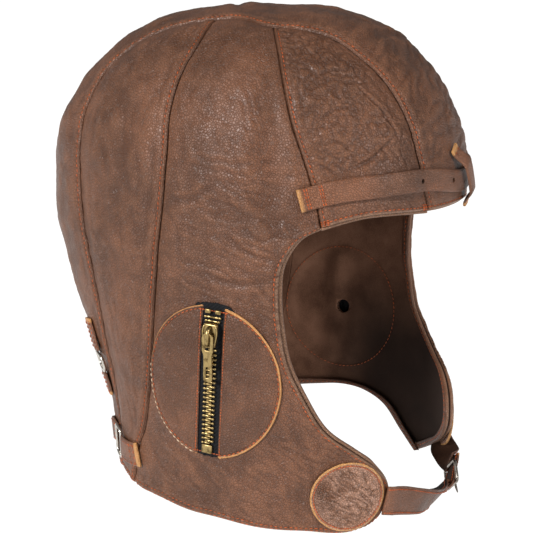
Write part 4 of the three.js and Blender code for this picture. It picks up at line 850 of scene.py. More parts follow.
def copies(template, matrices):
    """Copies of one small bmesh, gathered into one."""
    small = mesh_of("template", template)
    gathered = bmesh.new()
    for matrix in matrices:
        one = small.copy()
        one.transform(matrix)
        gathered.from_mesh(one)
        bpy.data.meshes.remove(one)
    bpy.data.meshes.remove(small)
    return gathered


def basis(x, y, z, at):
    """A matrix with the given columns, lengths kept, standing at a point."""
    return Matrix([[x[k], y[k], z[k], at[k]] for k in range(3)] + [[0, 0, 0, 1]])


def seam_stitches(lines, pitch, length, thread):
    """Short threads end to end along lines, each given as its points and normals."""
    template = bmesh.new()
    bmesh.ops.create_uvsphere(template, u_segments=5, v_segments=4, radius=1)
    matrices = []
    for points, normals in lines:
        if len(points) < 2:
            continue
        run = run_length(points)
        count = max(int(run[-1] / pitch), 1)
        middles = (np.arange(count) + 0.5) * run[-1] / count
        at = at_length(points, middles, run)
        ahead = unit(at_length(points, middles + length / 2, run) - at_length(points, middles - length / 2, run))
        out = unit(at_length(normals, middles, run))
        for p, t, n in zip(at, ahead, out):
            s = unit(np.cross(n, t))
            slant = unit(t + STITCH_SLANT * s)
            p = p + n * thread * (0.5 - STITCH_SUNK)
            matrices.append(basis(s * thread / 2, n * thread / 2, slant * length / 2, p))
    return copies(template, matrices)


# Flat frames laid on the form, for patches and rings
class Chart:
    """s runs forward or across, t runs up and lift goes away from the leather."""

    def __init__(self, row, mirror, tilt=0.0):
        self.origin = on_form(place(row, mirror))
        self.n = form_normal(self.origin[None])[0]
        across = unit(np.cross(UP, self.n)) * -mirror
        upward = unit(np.cross(self.n, across)) * -mirror
        upward = upward * np.sign(upward[2])
        lean = np.radians(tilt)
        self.s = across * np.cos(lean) - upward * np.sin(lean)
        self.t = upward * np.cos(lean) + across * np.sin(lean)

    def form(self, s, t):
        s, t = np.broadcast_arrays(np.asarray(s, float), np.asarray(t, float))
        start = self.origin + s[..., None] * self.s + t[..., None] * self.t
        return crossing(start, self.n, -HALF_WIDTH / 2, HALF_WIDTH / 2)

    def at(self, s, t, lift=0.0):
        """Points over the leather, with their normals."""
        p = self.form(s, t)
        normals = form_normal(p)
        return p + normals * (relief(p) + lift)[..., None], normals


EARS = {side: Chart(EAR_PLACE, mirror, EAR_TILT) for side, mirror in SIDES.items()}
CHINS = {side: Chart(CHIN_PLACES[side], mirror) for side, mirror in SIDES.items()}


def calm(p):
    """0 where a patch or strap presses the leather flat, 1 away from all of them."""
    share = np.ones(p.shape[:-1])
    for ear, chin in zip(EARS.values(), CHINS.values()):
        beside = p - ear.origin
        far = np.hypot((beside @ ear.s) * EAR_RADIUS / EAR_HALF_WIDTH, beside @ ear.t)
        far = np.where(beside @ ear.n > -30 * MM, far, EAR_RADIUS + 9 * MM)
        share *= smooth(EAR_RADIUS - 1 * MM, EAR_RADIUS + 8 * MM, far)
        share *= smooth(CHIN_PATCH_RADIUS - 1 * MM, CHIN_PATCH_RADIUS + 6 * MM, length_of(p - chin.origin))
    lines = [
        (right_to_left(BROW_STRAP_ROWS), BROW_STRAP_WIDTH), (right_to_left(NAPE_ROWS), NAPE_STRAP_WIDTH),
        (places(BROW_LOOP_ROWS), BROW_LOOP_WIDTH),
        (places(RETAINER_ROWS, RIGHT), RETAINER_WIDTH), (places(RETAINER_ROWS, LEFT), RETAINER_WIDTH),
    ]
    for line, width in lines:
        line = on_form(line)
        near = np.minimum.reduce([gap_to(p, a, b)[0] for a, b in zip(line[:-1], line[1:])])
        share *= 0.15 + 0.85 * smooth(width / 2 + 1 * MM, width / 2 + 7 * MM, near)
    return share


ARC_EDGE = np.array([0, 0.3, 0.6, 0.95, 1.3, 1.7, 2.1, 2.6, 3.4, 4.6]) * MM


def patch_rise(gap, run, seed, inset):
    """Relief of a patch near its edge: a soft corner, the pull of the stitches and a puff beyond."""
    at = np.stack([run / (5 * MM), gap / (8 * MM), np.full(gap.shape, 2.9 * seed)], axis=-1)
    pucker = 0.22 * MM * np.exp(-gap / (5 * MM)) * noise(at, 6)
    corner = -0.5 * MM * bell(gap, 0.45 * MM)
    groove = -0.38 * MM * bell(gap - inset, 0.55 * MM)
    return pucker + corner + groove + 0.35 * MM * smooth(inset, inset + 4 * MM, gap)


def ear_patch(side, forward):
    """Half oval beside the zip, cut edge outside and folded edge along the tape."""
    ear = EARS[side]
    way = 1 if forward else -1
    inner = GAP_WIDTH / 2 + CLEAR
    start = np.arcsin(inner / EAR_HALF_WIDTH)
    angles = np.linspace(start + 0.01, np.pi - start - 0.01, EAR_ROWS)
    longest = EAR_HALF_WIDTH - inner
    even = np.arange(ARC_EDGE[-1], longest - 4.4 * MM, EAR_STEP)[1:]
    gaps = np.concatenate([ARC_EDGE, even, longest - ARC_EDGE[:-1][::-1]]) / longest
    uneven = 1 + 0.006 * noise(np.stack([angles * 3, 0 * angles, 0 * angles + (5 if forward else 9)], axis=-1), 4)
    reach = EAR_HALF_WIDTH * np.sin(angles)[:, None] * uneven[:, None]
    s = reach - (reach - inner) * gaps[None, :]
    t = np.broadcast_to(EAR_RADIUS * np.cos(angles)[:, None], s.shape)
    round_s = s / uneven[:, None] * EAR_RADIUS / EAR_HALF_WIDTH
    arc_gap = np.maximum(EAR_RADIUS - np.hypot(round_s, t), 0)
    run = np.arctan2(s, t) * EAR_RADIUS
    rise = patch_rise(arc_gap, run, 1 if forward else 2, ARC_STITCH)
    zip_gap = s - inner
    rise = rise - 0.7 * MM * bell(zip_gap, 0.6 * MM)
    rise = rise - 0.3 * MM * bell(zip_gap - ZIP_STITCH, 0.4 * MM)
    p = ear.form(way * s, t)
    away = smooth(0, 8 * MM, np.minimum(arc_gap, zip_gap))
    soft = 0.45 * MM * noise(p / (13 * MM), 61) + 0.4 * MM * furrows(p, (0.1, 0.4, 1), 20 * MM, 5 * MM, 62)
    rise = rise + away * soft
    points, _ = ear.at(way * s, t, PATCH_TOP + rise)
    cut = (0.95 if forward else 0.4) * MM + 0.25 * MM * noise(p / (3 * MM), 63)
    # The second mark is painted highlight on the patch's bumps and painted shade in its hollows
    marks = {"raw": 1 - smooth(cut - 0.2 * MM, cut + 0.2 * MM, arc_gap),
             "rub_wear_and_painted_light": away * np.clip(soft / (0.6 * MM), -0.7, 0.7)}
    name = f"ear_patch_{'front' if forward else 'rear'}_{side}"
    bm = face_out(lay(points, marks), CENTRE)
    thicken(piece(f"leather_{name}", bm, SHELL, replaces=[name]), PATCH_SKIN)
    shrink = 1 - ARC_STITCH / EAR_RADIUS
    sunk = PATCH_TOP - 0.3 * MM
    arc_line = ear.at(way * EAR_HALF_WIDTH * shrink * np.sin(angles) * uneven, EAR_RADIUS * shrink * np.cos(angles),
                      sunk)
    high = EAR_RADIUS * np.cos(start) - 1.5 * MM
    zip_line = ear.at(np.full(60, way * (inner + ZIP_STITCH)), np.linspace(-high, high, 60), sunk)
    return arc_line, zip_line


def zip_ends(side):
    """Dense rows of stitches over the tape, above and below the teeth."""
    reach = np.linspace(-1, 1, 12) * (GAP_WIDTH / 2 + 0.8 * MM)
    return [EARS[side].at(reach, np.full(12, t), 1.35 * MM) for t in ZIP_END_ROWS]


def pale_ends(side):
    """Loose pale thread along the cut edge of the rear half."""
    angles = np.linspace(*PALE_ARC, 60) * np.pi
    return [EARS[side].at(-EAR_HALF_WIDTH * np.sin(angles), EAR_RADIUS * np.cos(angles), PATCH_TOP - 0.6 * MM)]


def zip_tape(side):
    """Woven tape under both halves, its cut ends showing above and below, with a bead along each inner edge."""
    ear = EARS[side]
    s = np.concatenate([np.linspace(-0.5, -0.14, 10), np.linspace(-0.13, 0.13, 27), np.linspace(0.14, 0.5, 10)])
    s = s * TAPE_WIDTH
    fray = TAPE_FRAY * noise(np.stack([s / (0.9 * MM), 0 * s, 0 * s], axis=-1), 71)
    wide = 1 - smooth(0.36, 0.5, np.abs(s) / TAPE_WIDTH)
    outline = EAR_RADIUS * np.sqrt(1 - (s / EAR_HALF_WIDTH) ** 2)
    top = outline + (TAPE_PAST + fray) * wide - 2 * MM * (1 - wide)
    below = 1 - smooth(0.24, 0.36, np.abs(s) / TAPE_WIDTH)
    bottom = outline + 0.55 * (TAPE_PAST + fray[::-1]) * below - 1.2 * MM
    share = np.linspace(0, 1, 90)[:, None]
    t_grid = -bottom[None, :] * (1 - share) + top[None, :] * share
    s_grid = np.broadcast_to(s[None, :], t_grid.shape)
    bead = 0.45 * MM * bell(np.abs(s_grid) - TAPE_BEAD, 0.6 * MM)
    points, _ = ear.at(s_grid, t_grid, 0.55 * MM + bead - 0.3 * MM * bell(s_grid, 0.8 * MM))
    bm = face_out(lay(points), CENTRE)
    thicken(piece(f"tape_{side}", bm, TAPE_CLOTH, replaces=[f"zip_tape_{side}"]), TAPE_SKIN)


def block(size, bevel, segments=2):
    """A small block with rounded edges."""
    bm = bmesh.new()
    bmesh.ops.create_cube(bm, size=1)
    bmesh.ops.scale(bm, vec=size, verts=bm.verts)
    bmesh.ops.bevel(bm, geom=bm.edges[:], offset=bevel, segments=segments, profile=0.5, affect="EDGES", material=-1)
    return bm


def merge_into(bm, other, matrix=None):
    """Adds a second small bmesh to the first."""
    if matrix is not None:
        other.transform(matrix)
    mesh = mesh_of("part", other)
    bm.from_mesh(mesh)
    bpy.data.meshes.remove(mesh)
    return bm


def tooth():
    """One brass tooth: a long narrow head and the two legs that clamp the bead."""
    return merge_into(block(*TOOTH_HEAD, 1), block(*TOOTH_LEGS, 1), Matrix.Translation((1.55 * MM, 0, -0.1 * MM)))


def on_zip(side, s, t, lift, turn=1):
    """Matrix that stands a small part on the zip: x across, y up the zip, z away from it."""
    ear = EARS[side]
    point, normal = (v[0] for v in ear.at(np.array([s]), np.array([t]), lift))
    ahead = ear.at(np.array([s]), np.array([t + MM]), lift)[0][0]
    y = unit(ahead - point)
    x = unit(np.cross(y, normal))
    return basis(x * turn, y, np.cross(x * turn, y), point)


def zip_teeth(side):
    """Brass teeth below the slider and two pairs above it, with the stops at both ends."""
    low = -EAR_RADIUS + ZIP_MARGIN + 5 * MM
    high = SLIDER_AT - SLIDER_LENGTH / 2 + 1 * MM
    above = SLIDER_AT + SLIDER_LENGTH / 2
    count = int((high - low) / TEETH_PITCH)
    rows = [(1 if i % 2 else -1, 0.85 * MM, low + i * TEETH_PITCH / 2) for i in range(2 * count + 1)]
    rows += [(turn, (1.6 + 0.5 * i) * MM, above + (0.6 + 2.0 * i) * MM) for i in range(2) for turn in (-1, 1)]
    bm = copies(tooth(), [on_zip(side, turn * aside, t, TEETH_LIFT, turn) for turn, aside, t in rows])
    box = on_zip(side, 0, low - 3.2 * MM, TEETH_LIFT + 0.05 * MM)
    merge_into(bm, block(*LOWER_STOP), box)
    for turn in (-1, 1):
        stop = on_zip(side, turn * 2.6 * MM, above + 5.4 * MM, TEETH_LIFT, turn)
        merge_into(bm, block(*UPPER_STOP), stop)
    piece(f"teeth_{side}", bm, BRASS, replaces=[f"zip_teeth_{side}"])


def rod(path, radius, up, sides=10, loop=False):
    """A rod that follows a path; up keeps its section from twisting."""
    path = np.asarray(path, float)
    ahead = np.roll(path, -1, axis=0) - np.roll(path, 1, axis=0)
    if not loop:
        ahead[0], ahead[-1] = path[1] - path[0], path[-1] - path[-2]
    ahead = unit(ahead)
    across = unit(np.cross(ahead, np.broadcast_to(up, ahead.shape)))
    high = np.cross(across, ahead)
    angles = np.linspace(0, 2 * np.pi, sides, endpoint=False)
    radius = np.broadcast_to(radius, (len(path),))[:, None, None]
    wheel = np.cos(angles)[None, :, None] * across[:, None] + np.sin(angles)[None, :, None] * high[:, None]
    return face_out(lay(path[:, None] + radius * wheel, ring=True, loop=loop, caps=not loop))


def zip_slider(side):
    """Cast slider: a body that narrows downwards with rails on its sides, and the bridge that holds the pull."""
    body = block(*SLIDER_BODY, 3)
    for vert in body.verts:
        down = smooth(2 * MM, -6 * MM, vert.co.y)
        vert.co.x *= 1 - 0.3 * down - 0.18 * smooth(2 * MM, 6 * MM, vert.co.y)
        vert.co.z *= 1 - 0.12 * down
    for turn in (-1, 1):
        rail_y = np.linspace(-5, 5, 14) * MM
        rail_x = turn * (3.6 - 0.9 * smooth(2, -6, rail_y / MM) - 0.6 * smooth(2, 6, rail_y / MM)) * MM
        path = np.stack([rail_x, rail_y, np.full(14, 1.35 * MM)], axis=-1)
        merge_into(body, rod(path, 0.55 * MM, UP, 8))
    turns = np.linspace(0.06, 0.94, 20) * np.pi
    arch = np.stack([0 * turns, 4.4 * MM * np.cos(turns), (0.6 + 4.1 * np.sin(turns) ** 0.7) * MM], axis=-1)
    merge_into(body, rod(arch, 1.1 * MM, (1, 0, 0)))
    body.transform(on_zip(side, 0, SLIDER_AT, TEETH_LIFT + 1.35 * MM))
    piece(f"slider_{side}", body, BRASS, replaces=[f"zip_slider_{side}"])


def strap_line(points, count):
    """Evenly spaced stations of a strap along the form."""
    line = curve_points(on_form(points))
    return on_form(at_length(line, np.linspace(0, 1, count) * run_length(line)[-1]))


def pressed(width, inset, depth, reach):
    """Dent that the stitches make along both edges of a strap."""
    return -depth * bell(np.abs(ACROSS) * width / 2 - (width / 2 - inset), reach)[None, :]


def laid_strap(name, line, width, lift, rough, seed, raw_ends, raw_length, node=None):
    """A closed strap lying on the leather, with soft corners; gives also its face, for the stitches."""
    ahead = unit(np.gradient(line, axis=0))
    aside = unit(np.cross(form_normal(line), ahead))
    q = on_form(line[:, None] + aside[:, None] * (ACROSS[None, :, None] * width / 2))
    normals = form_normal(q)
    base = relief(q)
    base = base + (np.median(base, axis=1, keepdims=True) - base) * STRAP_FLATTENS
    base = base + np.broadcast_to(lift, (len(line),))[:, None]
    corner = STRAP * (1 - 0.5 * CORNERS)[None, :]
    soft = 0.28 * MM * rough * noise(q / (8 * MM), 80 + seed) * (1 - np.abs(ACROSS[None, :]) ** 6)
    top = q + normals * (base + corner + soft + pressed(width, 1.5 * MM, 0.18 * MM, 0.4 * MM))[..., None]
    bottom = (q + normals * (base + 0.25 * STRAP * CORNERS[None, :])[..., None])[:, ::-1]
    rings = np.concatenate([top, bottom], axis=1)
    thing = strap_piece(name, node or name, rings, run_length(line), raw_ends, raw_length)
    return thing, (q, normals, base + corner)


def strap_piece(name, node, rings, run, raw_ends, raw_length, flesh=0):
    """A closed strap; flesh is 1 where the first half of each ring is its inner side and -1 where the second is."""
    raw = np.zeros(rings.shape[:2])
    for is_raw, gap in zip(raw_ends, (run, run[-1] - run)):
        if is_raw:
            raw = np.maximum(raw, (1 - smooth(raw_length * 0.7, raw_length * 1.2, gap))[:, None])
    marks = {"raw": raw, "rub_wear_and_painted_light": np.zeros(raw.shape)}
    if not flesh:
        bm = face_out(lay(rings, marks, ring=True, caps=True))
        return piece(name, bm, STRAPS, replaces=[node])
    half = rings.shape[1] // 2
    inner = np.zeros(raw.shape)
    inner[:, :half] = flesh > 0
    inner[:, half:] = flesh < 0
    bm = lay(rings, marks | {"inner": inner}, ring=True, caps=True)
    layer = bm.verts.layers.float["inner"]
    for face in bm.faces:
        face.material_index = int(sum(vert[layer] for vert in face.verts) > len(face.verts) - 0.5)
    return piece(name, face_out(bm), [STRAPS, FLESH_IN_PAINTED_SHADE], replaces=[node])


def cross_stitches(face, rows):
    """Bar stitches across a strap at given stations."""
    q, normals, top = face
    keep = slice(2, -2)
    return [(q[i, keep] + normals[i, keep] * (top[i, keep] - BAR_STITCH_SUNK)[..., None], normals[i, keep])
            for i in rows]


def edge_lines(face, width, skip=(0, 0)):
    """Stitch lines along both edges of a strap."""
    q, normals, top = face
    share = 1 - STRAP_STITCH / (width / 2)
    surface = q + normals * (top + STRAP_STITCH_RISE)[..., None]
    keep = slice(skip[0], len(q) - skip[1])
    lines = []
    for way in (-1, 1):
        points, ways = (np.stack([at_length(row, way * share, ACROSS) for row in grid[keep]])
                        for grid in (surface, normals))
        lines.append((points, unit(ways)))
    return lines


# Materials
def tone(hex_text):
    """An sRGB hex value as the linear colour that the shader needs."""
    shares = [int(hex_text[k:k + 2], 16) / 255 for k in (1, 3, 5)]
    return tuple(s / 12.92 if s <= 0.04045 else ((s + 0.055) / 1.055) ** 2.4 for s in shares) + (1.0,)


def add(tree, kind, sockets=None, **settings):
    """Adds a node with its options, and gives its sockets values or links."""
    node = tree.nodes.new(kind)
    for key, value in settings.items():
        setattr(node, key, value)
    for key, value in (sockets or {}).items():
        if isinstance(value, bpy.types.NodeSocket):
            tree.links.new(value, node.inputs[key])
        else:
            node.inputs[key].default_value = value
    return node


def blank(name):
    """A material with only its output and shader, and the place on the object."""
    material = bpy.data.materials.new(name)
    material.use_nodes = True
    tree = material.node_tree
    tree.nodes.clear()
    shader = add(tree, "ShaderNodeBsdfPrincipled")
    add(tree, "ShaderNodeOutputMaterial", {"Surface": shader.outputs["BSDF"]})
    return material, tree, shader, add(tree, "ShaderNodeTexCoord").outputs["Object"]


def per(size):
    """Pattern scale for a feature of a real size in metres."""
    return 1 / size


def finish(tree, shader, colour, height, strength, depth):
    """Gives the shader its colour and its relief, as deep as the real one."""
    tree.links.new(colour, shader.inputs["Base Color"])
    raised = add(tree, "ShaderNodeBump", {"Height": height, "Strength": strength, "Distance": depth})
    tree.links.new(raised.outputs[0], shader.inputs["Normal"])


# Painted shade in the creases between the pebbles of the grain
PAINTED_CREASE_SHADE = "#34200f"
RUBBED_TONE = "#a98468"
# Noises of the leather: size, detail and roughness
LEATHER_NOISES = {
    "warp": (3.2 * MM, 2.0, 0.5), "pores": (0.35 * MM, 3.0, 0.5), "folds": (5.5 * MM, 3.0, 0.55),
    "cloud": (34 * MM, 4.0, 0.6), "blotch": (9 * MM, 4.0, 0.5),
}


def grained_leather(name, base, dark, light, raw, grain, gloss, bump):
    """Drum-tumbled leather, aniline dyed and waxed: pebbles with painted shade in the creases between them, clouded
    dye, painted highlight on the ridges and painted shade in the furrows of the relief, rolled edges that have rubbed
    pale, and a tan fibrous core where it is cut."""
    material, tree, shader, place_on = blank(name)
    shader.inputs["IOR"].default_value = 1.45
    shader.inputs["Coat Weight"].default_value = 0.04
    shader.inputs["Coat Roughness"].default_value = 0.38
    noises = {key: add(tree, "ShaderNodeTexNoise", {"Vector": place_on, "Scale": per(size), "Detail": detail,
                                                    "Roughness": rough})
              for key, (size, detail, rough) in LEATHER_NOISES.items()}
    pores, folds, cloud, blotch = (noises[key].outputs["Fac"] for key in ("pores", "folds", "cloud", "blotch"))
    bent = add(tree, "ShaderNodeVectorMath", {0: noises["warp"].outputs["Color"], "Scale": 1.1 * MM},
               operation="SCALE")
    bent = add(tree, "ShaderNodeVectorMath", {0: bent.outputs["Vector"], 1: place_on}, operation="ADD").outputs[0]
    cells = add(tree, "ShaderNodeTexVoronoi", {"Vector": bent, "Scale": per(grain)}, feature="DISTANCE_TO_EDGE")
    pebble = add(tree, "ShaderNodeMapRange", {0: cells.outputs["Distance"], 1: 0.0, 2: 0.2},
                 interpolation_type="SMOOTHSTEP").outputs[0]
    small = add(tree, "ShaderNodeTexVoronoi", {"Vector": bent, "Scale": per(0.5 * grain)}, feature="SMOOTH_F1")
    rub_wear_and_painted_light, cut = (add(tree, "ShaderNodeAttribute", attribute_name=key).outputs["Fac"] for key in ("rub_wear_and_painted_light", "raw"))
    clouded = add(tree, "ShaderNodeMapRange", {0: cloud, 1: 0.36, 2: 0.64}, interpolation_type="SMOOTHSTEP")
    skin = add(tree, "ShaderNodeMix", {0: clouded.outputs[0], 6: tone(dark), 7: tone(base)}, data_type="RGBA")
    # Layers over the clouded dye: what they follow, from where to where, their cover there and their tone
    for value, low, high, start, end, over in (
        (blotch, 0.40, 0.72, 0.0, 0.3, light),
        # Painted highlight on the ridges of the relief
        (rub_wear_and_painted_light, 0.05, 0.9, 0.0, 0.3, light),
        (rub_wear_and_painted_light, 1.1, 2.0, 0.0, 0.45, RUBBED_TONE),
        # Painted shade in the furrows of the relief
        (rub_wear_and_painted_light, -0.1, -0.9, 0.0, 0.6, dark),
        # Painted shade in the creases of the grain
        (pebble, 0.0, 0.8, 0.42, 0.0, PAINTED_CREASE_SHADE),
    ):
        share = add(tree, "ShaderNodeMapRange", {0: value, 1: low, 2: high, 3: start, 4: end})
        skin = add(tree, "ShaderNodeMix", {0: share.outputs[0], 6: skin.outputs[2], 7: tone(over)}, data_type="RGBA")
    fibre = add(tree, "ShaderNodeMapRange", {0: pores, 1: 0.3, 2: 0.7, 3: 0.72, 4: 1.0})
    core = add(tree, "ShaderNodeMix", {0: fibre.outputs[0], 6: tone(base), 7: tone(raw)}, data_type="RGBA")
    skin = add(tree, "ShaderNodeMix", {0: cut, 6: skin.outputs[2], 7: core.outputs[2]}, data_type="RGBA")
    shine = add(tree, "ShaderNodeMapRange", {0: blotch, 1: 0.3, 2: 0.7, 3: gloss[0], 4: gloss[1]})
    tree.links.new(shine.outputs[0], shader.inputs["Roughness"])
    height = pebble
    for value, share in ((small.outputs["Distance"], -0.3), (pores, 0.12), (folds, 2.4)):
        height = add(tree, "ShaderNodeMath", {0: value, 1: share, 2: height}, operation="MULTIPLY_ADD").outputs[0]
    finish(tree, shader, skin.outputs[2], height, bump, 0.42 * MM)
    return material


def suede(name, base, dark, painted_shade_tone):
    """Split leather with a brushed flesh side: soft, matt and napped, with finger marks in the nap, and a painted
    shade that turns it nearly black where its attribute is high, low down near the chin."""
    material, tree, shader, place_on = blank(name)
    shader.inputs["Sheen Weight"].default_value = 0.02
    shader.inputs["Specular IOR Level"].default_value = 0.12
    shader.inputs["Roughness"].default_value = 0.85
    nap = add(tree, "ShaderNodeTexNoise", {"Vector": place_on, "Scale": per(0.6 * MM), "Detail": 4.0})
    marks = add(tree, "ShaderNodeTexNoise", {"Vector": place_on, "Scale": per(16 * MM), "Detail": 3.0})
    share = add(tree, "ShaderNodeMath", {0: nap.outputs["Fac"], 1: 0.5, 2: marks.outputs["Fac"]},
                operation="MULTIPLY_ADD")
    share = add(tree, "ShaderNodeMapRange", {0: share.outputs[0], 1: 0.55, 2: 0.95})
    mix = add(tree, "ShaderNodeMix", {0: share.outputs[0], 6: tone(dark), 7: tone(base)}, data_type="RGBA")
    # Painted shade: the lining darkens to the last tone where this attribute is high
    lining_painted_shade = add(tree, "ShaderNodeAttribute", attribute_name="lining_painted_shade").outputs["Fac"]
    mix = add(tree, "ShaderNodeMix", {0: lining_painted_shade, 6: mix.outputs[2], 7: tone(painted_shade_tone)}, data_type="RGBA")
    finish(tree, shader, mix.outputs[2], nap.outputs["Fac"], 0.3, 0.25 * MM)
    return material


def woven_tape(name, base, light):
    """Twill-woven cotton tape dyed black: slanting ribs half a millimetre apart, dusty on the high threads."""
    material, tree, shader, place_on = blank(name)
    shader.inputs["Roughness"].default_value = 0.85
    shader.inputs["Specular IOR Level"].default_value = 0.2
    turned = add(tree, "ShaderNodeMapping", {"Vector": place_on, "Rotation": (0.7, 0.0, 0.2)})
    ribs = add(tree, "ShaderNodeTexWave", {"Vector": turned.outputs[0], "Scale": per(0.7 * MM) / 6.28,
                                           "Distortion": 1.2, "Detail": 1.0}, bands_direction="Z")
    fluff = add(tree, "ShaderNodeTexNoise", {"Vector": place_on, "Scale": per(1.2 * MM), "Detail": 4.0})
    share = add(tree, "ShaderNodeMath", {0: ribs.outputs["Fac"], 1: fluff.outputs["Fac"]}, operation="MULTIPLY")
    mix = add(tree, "ShaderNodeMix", {0: share.outputs[0], 6: tone(base), 7: tone(light)}, data_type="RGBA")
    finish(tree, shader, mix.outputs[2], ribs.outputs["Fac"], 0.5, 0.2 * MM)
    return material


def aged_metal(name, base, tarnish, gloss, cover):
    """Cast or drawn metal, tumbled bright and then darkened with age: dull in the hollows of the
    tarnish and smooth where hands have rubbed it."""
    material, tree, shader, place_on = blank(name)
    shader.inputs["Metallic"].default_value = 1.0
    patches = add(tree, "ShaderNodeTexNoise", {"Vector": place_on, "Scale": per(2.4 * MM), "Detail": 5.0,
                                               "Roughness": 0.6})
    scratches = add(tree, "ShaderNodeTexNoise", {"Vector": place_on, "Scale": per(0.25 * MM), "Detail": 2.0})
    share = add(tree, "ShaderNodeMapRange", {0: patches.outputs["Fac"], 1: 0.42, 2: 0.72, 3: 0.0, 4: cover},
                interpolation_type="SMOOTHSTEP")
    mix = add(tree, "ShaderNodeMix", {0: share.outputs[0], 6: tone(base), 7: tone(tarnish)}, data_type="RGBA")
    dull = add(tree, "ShaderNodeMapRange", {0: patches.outputs["Fac"], 1: 0.3, 2: 0.75, 3: gloss[0], 4: gloss[1]})
    tree.links.new(dull.outputs[0], shader.inputs["Roughness"])
    finish(tree, shader, mix.outputs[2], scratches.outputs["Fac"], 0.12, 0.08 * MM)
    return material


def waxed_thread(name, base, dark):
    """Twisted linen thread, dyed and waxed: warm, slightly uneven in tone from stitch to stitch."""
    material, tree, shader, place_on = blank(name)
    shader.inputs["Roughness"].default_value = 0.55
    uneven = add(tree, "ShaderNodeTexNoise", {"Vector": place_on, "Scale": per(4 * MM), "Detail": 3.0})
    share = add(tree, "ShaderNodeMapRange", {0: uneven.outputs["Fac"], 1: 0.4, 2: 0.65})
    mix = add(tree, "ShaderNodeMix", {0: share.outputs[0], 6: tone(dark), 7: tone(base)}, data_type="RGBA")
    twist = add(tree, "ShaderNodeTexNoise", {"Vector": place_on, "Scale": per(0.3 * MM), "Detail": 1.0})
    finish(tree, shader, mix.outputs[2], twist.outputs["Fac"], 0.4, 0.15 * MM)
    return material


# Leathers: base, dark, light and raw tones, grain, gloss from and to, and relief
SHELL = grained_leather("tumbled_aniline_leather", "#67402a", "#4d2d1a", "#7f5338", "#c08850",
                        1.3 * MM, (0.40, 0.56), 0.7)
STRAPS = grained_leather("strap_leather_waxed", "#7a4d34", "#5a3824", "#8f624a", "#c48e55",
                         1.1 * MM, (0.38, 0.55), 0.8)
# The chin patches' paler tones are partly painted highlight standing for their glints, besides their real gloss
GLOSSY = grained_leather("patch_leather_burnished_with_painted_glints", "#9a7059", "#5c3b29", "#c29a86", "#c48e55",
                         1.2 * MM, (0.15, 0.30), 1.0)
# The last tone is the painted shade of the lining near the chin
NAPPED = suede("split_leather_lining", "#7d5a47", "#573b2c", "#1f1612")
# The strap's real flesh side, its tones darkened to near black as painted shade for where it hangs
FLESH_IN_PAINTED_SHADE = suede("strap_flesh_side", "#3f281b", "#24160f", "#150e0b")
STEEL = aged_metal("steel_darkened_with_handling", "#9a9289", "#3f3832", (0.2, 0.4), 0.7)
TAPE_CLOTH = woven_tape("twill_tape_black", "#0b0b0d", "#1d1e22")
BRASS = aged_metal("antique_brass", "#a68f60", "#4a3a22", (0.24, 0.46), 0.85)
NICKEL = aged_metal("nickel_plated_steel", "#cfc9c0", "#7b7268", (0.16, 0.36), 0.4)
ORANGE = waxed_thread("waxed_thread_orange", "#bb541b", "#8a4015")
PALE = waxed_thread("waxed_thread_pale", "#cbb196", "#9a8067")


# Shell, lining and the facing of the edges
def relief_marks(panel):
    """How far each point stands over its surroundings, for painted highlight on ridges and painted shade in furrows,
    plus the rubbed edges.
    """
    soft = panel.rise.copy()
    for _ in range(PAINTED_LIGHT_ROUNDS):
        padded = np.pad(soft, 1, mode="edge")
        soft = (padded[:-2, 1:-1] + padded[2:, 1:-1] + padded[1:-1, :-2] + padded[1:-1, 2:] + 2 * soft) / 6
    return np.clip((panel.rise - soft) / PAINTED_LIGHT_HEIGHT, -1, 1) + 2 * panel.rubbed


SHELL_NODES = {f"{part}_{side}": f"{part}_panel_{side}" for part in ("front", "side", "rear") for side in SIDES}
SHELL_NODES["crown"] = "crown_band"


def make_shell(panels):
    for name, panel in panels.items():
        # The colour marks paint highlight on ridges and shade in furrows, besides the rubbed edges
        marks = {"rub_wear_and_painted_light": relief_marks(panel), "raw": np.zeros(panel.rise.shape)}
        bm = face_out(lay(panel.skin, marks), CENTRE)
        thing = thicken(piece(f"leather_{name}", bm, SHELL, replaces=[SHELL_NODES[name]]), SKIN)
        drill_ear(thing, name, 0.0)


def soft_folds(p):
    """Slack of the lining inside the ear circles, in soft upright folds."""
    rise = 0.25 * MM * noise(p / (14 * MM), 91)
    for ear in EARS.values():
        inside = 1 - smooth(EAR_RADIUS - 9 * MM, EAR_RADIUS - 3 * MM, length_of(p - ear.origin))
        rise = rise + inside * 2.4 * MM * noise(stretched(p, (0, 0.1, 1), 45 * MM, 10 * MM), 92)
    return rise


def make_lining(panels):
    for name, panel in panels.items():
        rows = np.unique(np.r_[0:len(panel.v):2, len(panel.v) - 1])
        columns = np.unique(np.r_[0:len(panel.u):2, len(panel.u) - 1])
        p, n = panel.grid[np.ix_(rows, columns)], panel.normals[np.ix_(rows, columns)]
        away = np.minimum.reduce([gap[np.ix_(rows, columns)] for gap in panel.gaps.values()])
        rise = relief(p) - LINING_FACE + smooth(0, 6 * MM, away) * soft_folds(p)
        # Painted shade, darkening the lining low down and toward the front, near the chin
        lining_painted_shade = smooth(-135 * MM, -195 * MM, p[..., 2]) * smooth(20 * MM, -35 * MM, p[..., 1])
        bm = face_out(lay(p + n * rise[..., None], {"lining_painted_shade": 0.93 * lining_painted_shade}), CENTRE)
        bmesh.ops.reverse_faces(bm, faces=bm.faces)
        thing = thicken(piece(f"lining_{name}", bm, NAPPED, replaces=["lining"]), LINING_SKIN)
        drill_ear(thing, name, -LINING_FACE)


def drill_ear(thing, name, lift):
    """Cuts the ear hole where the piece has one."""
    part, _, side = name.partition("_")
    if part == "side":
        drill(thing, EARS[side].at(0.0, 0.0, lift)[0], EARS[side].n, EAR_HOLE / 2)


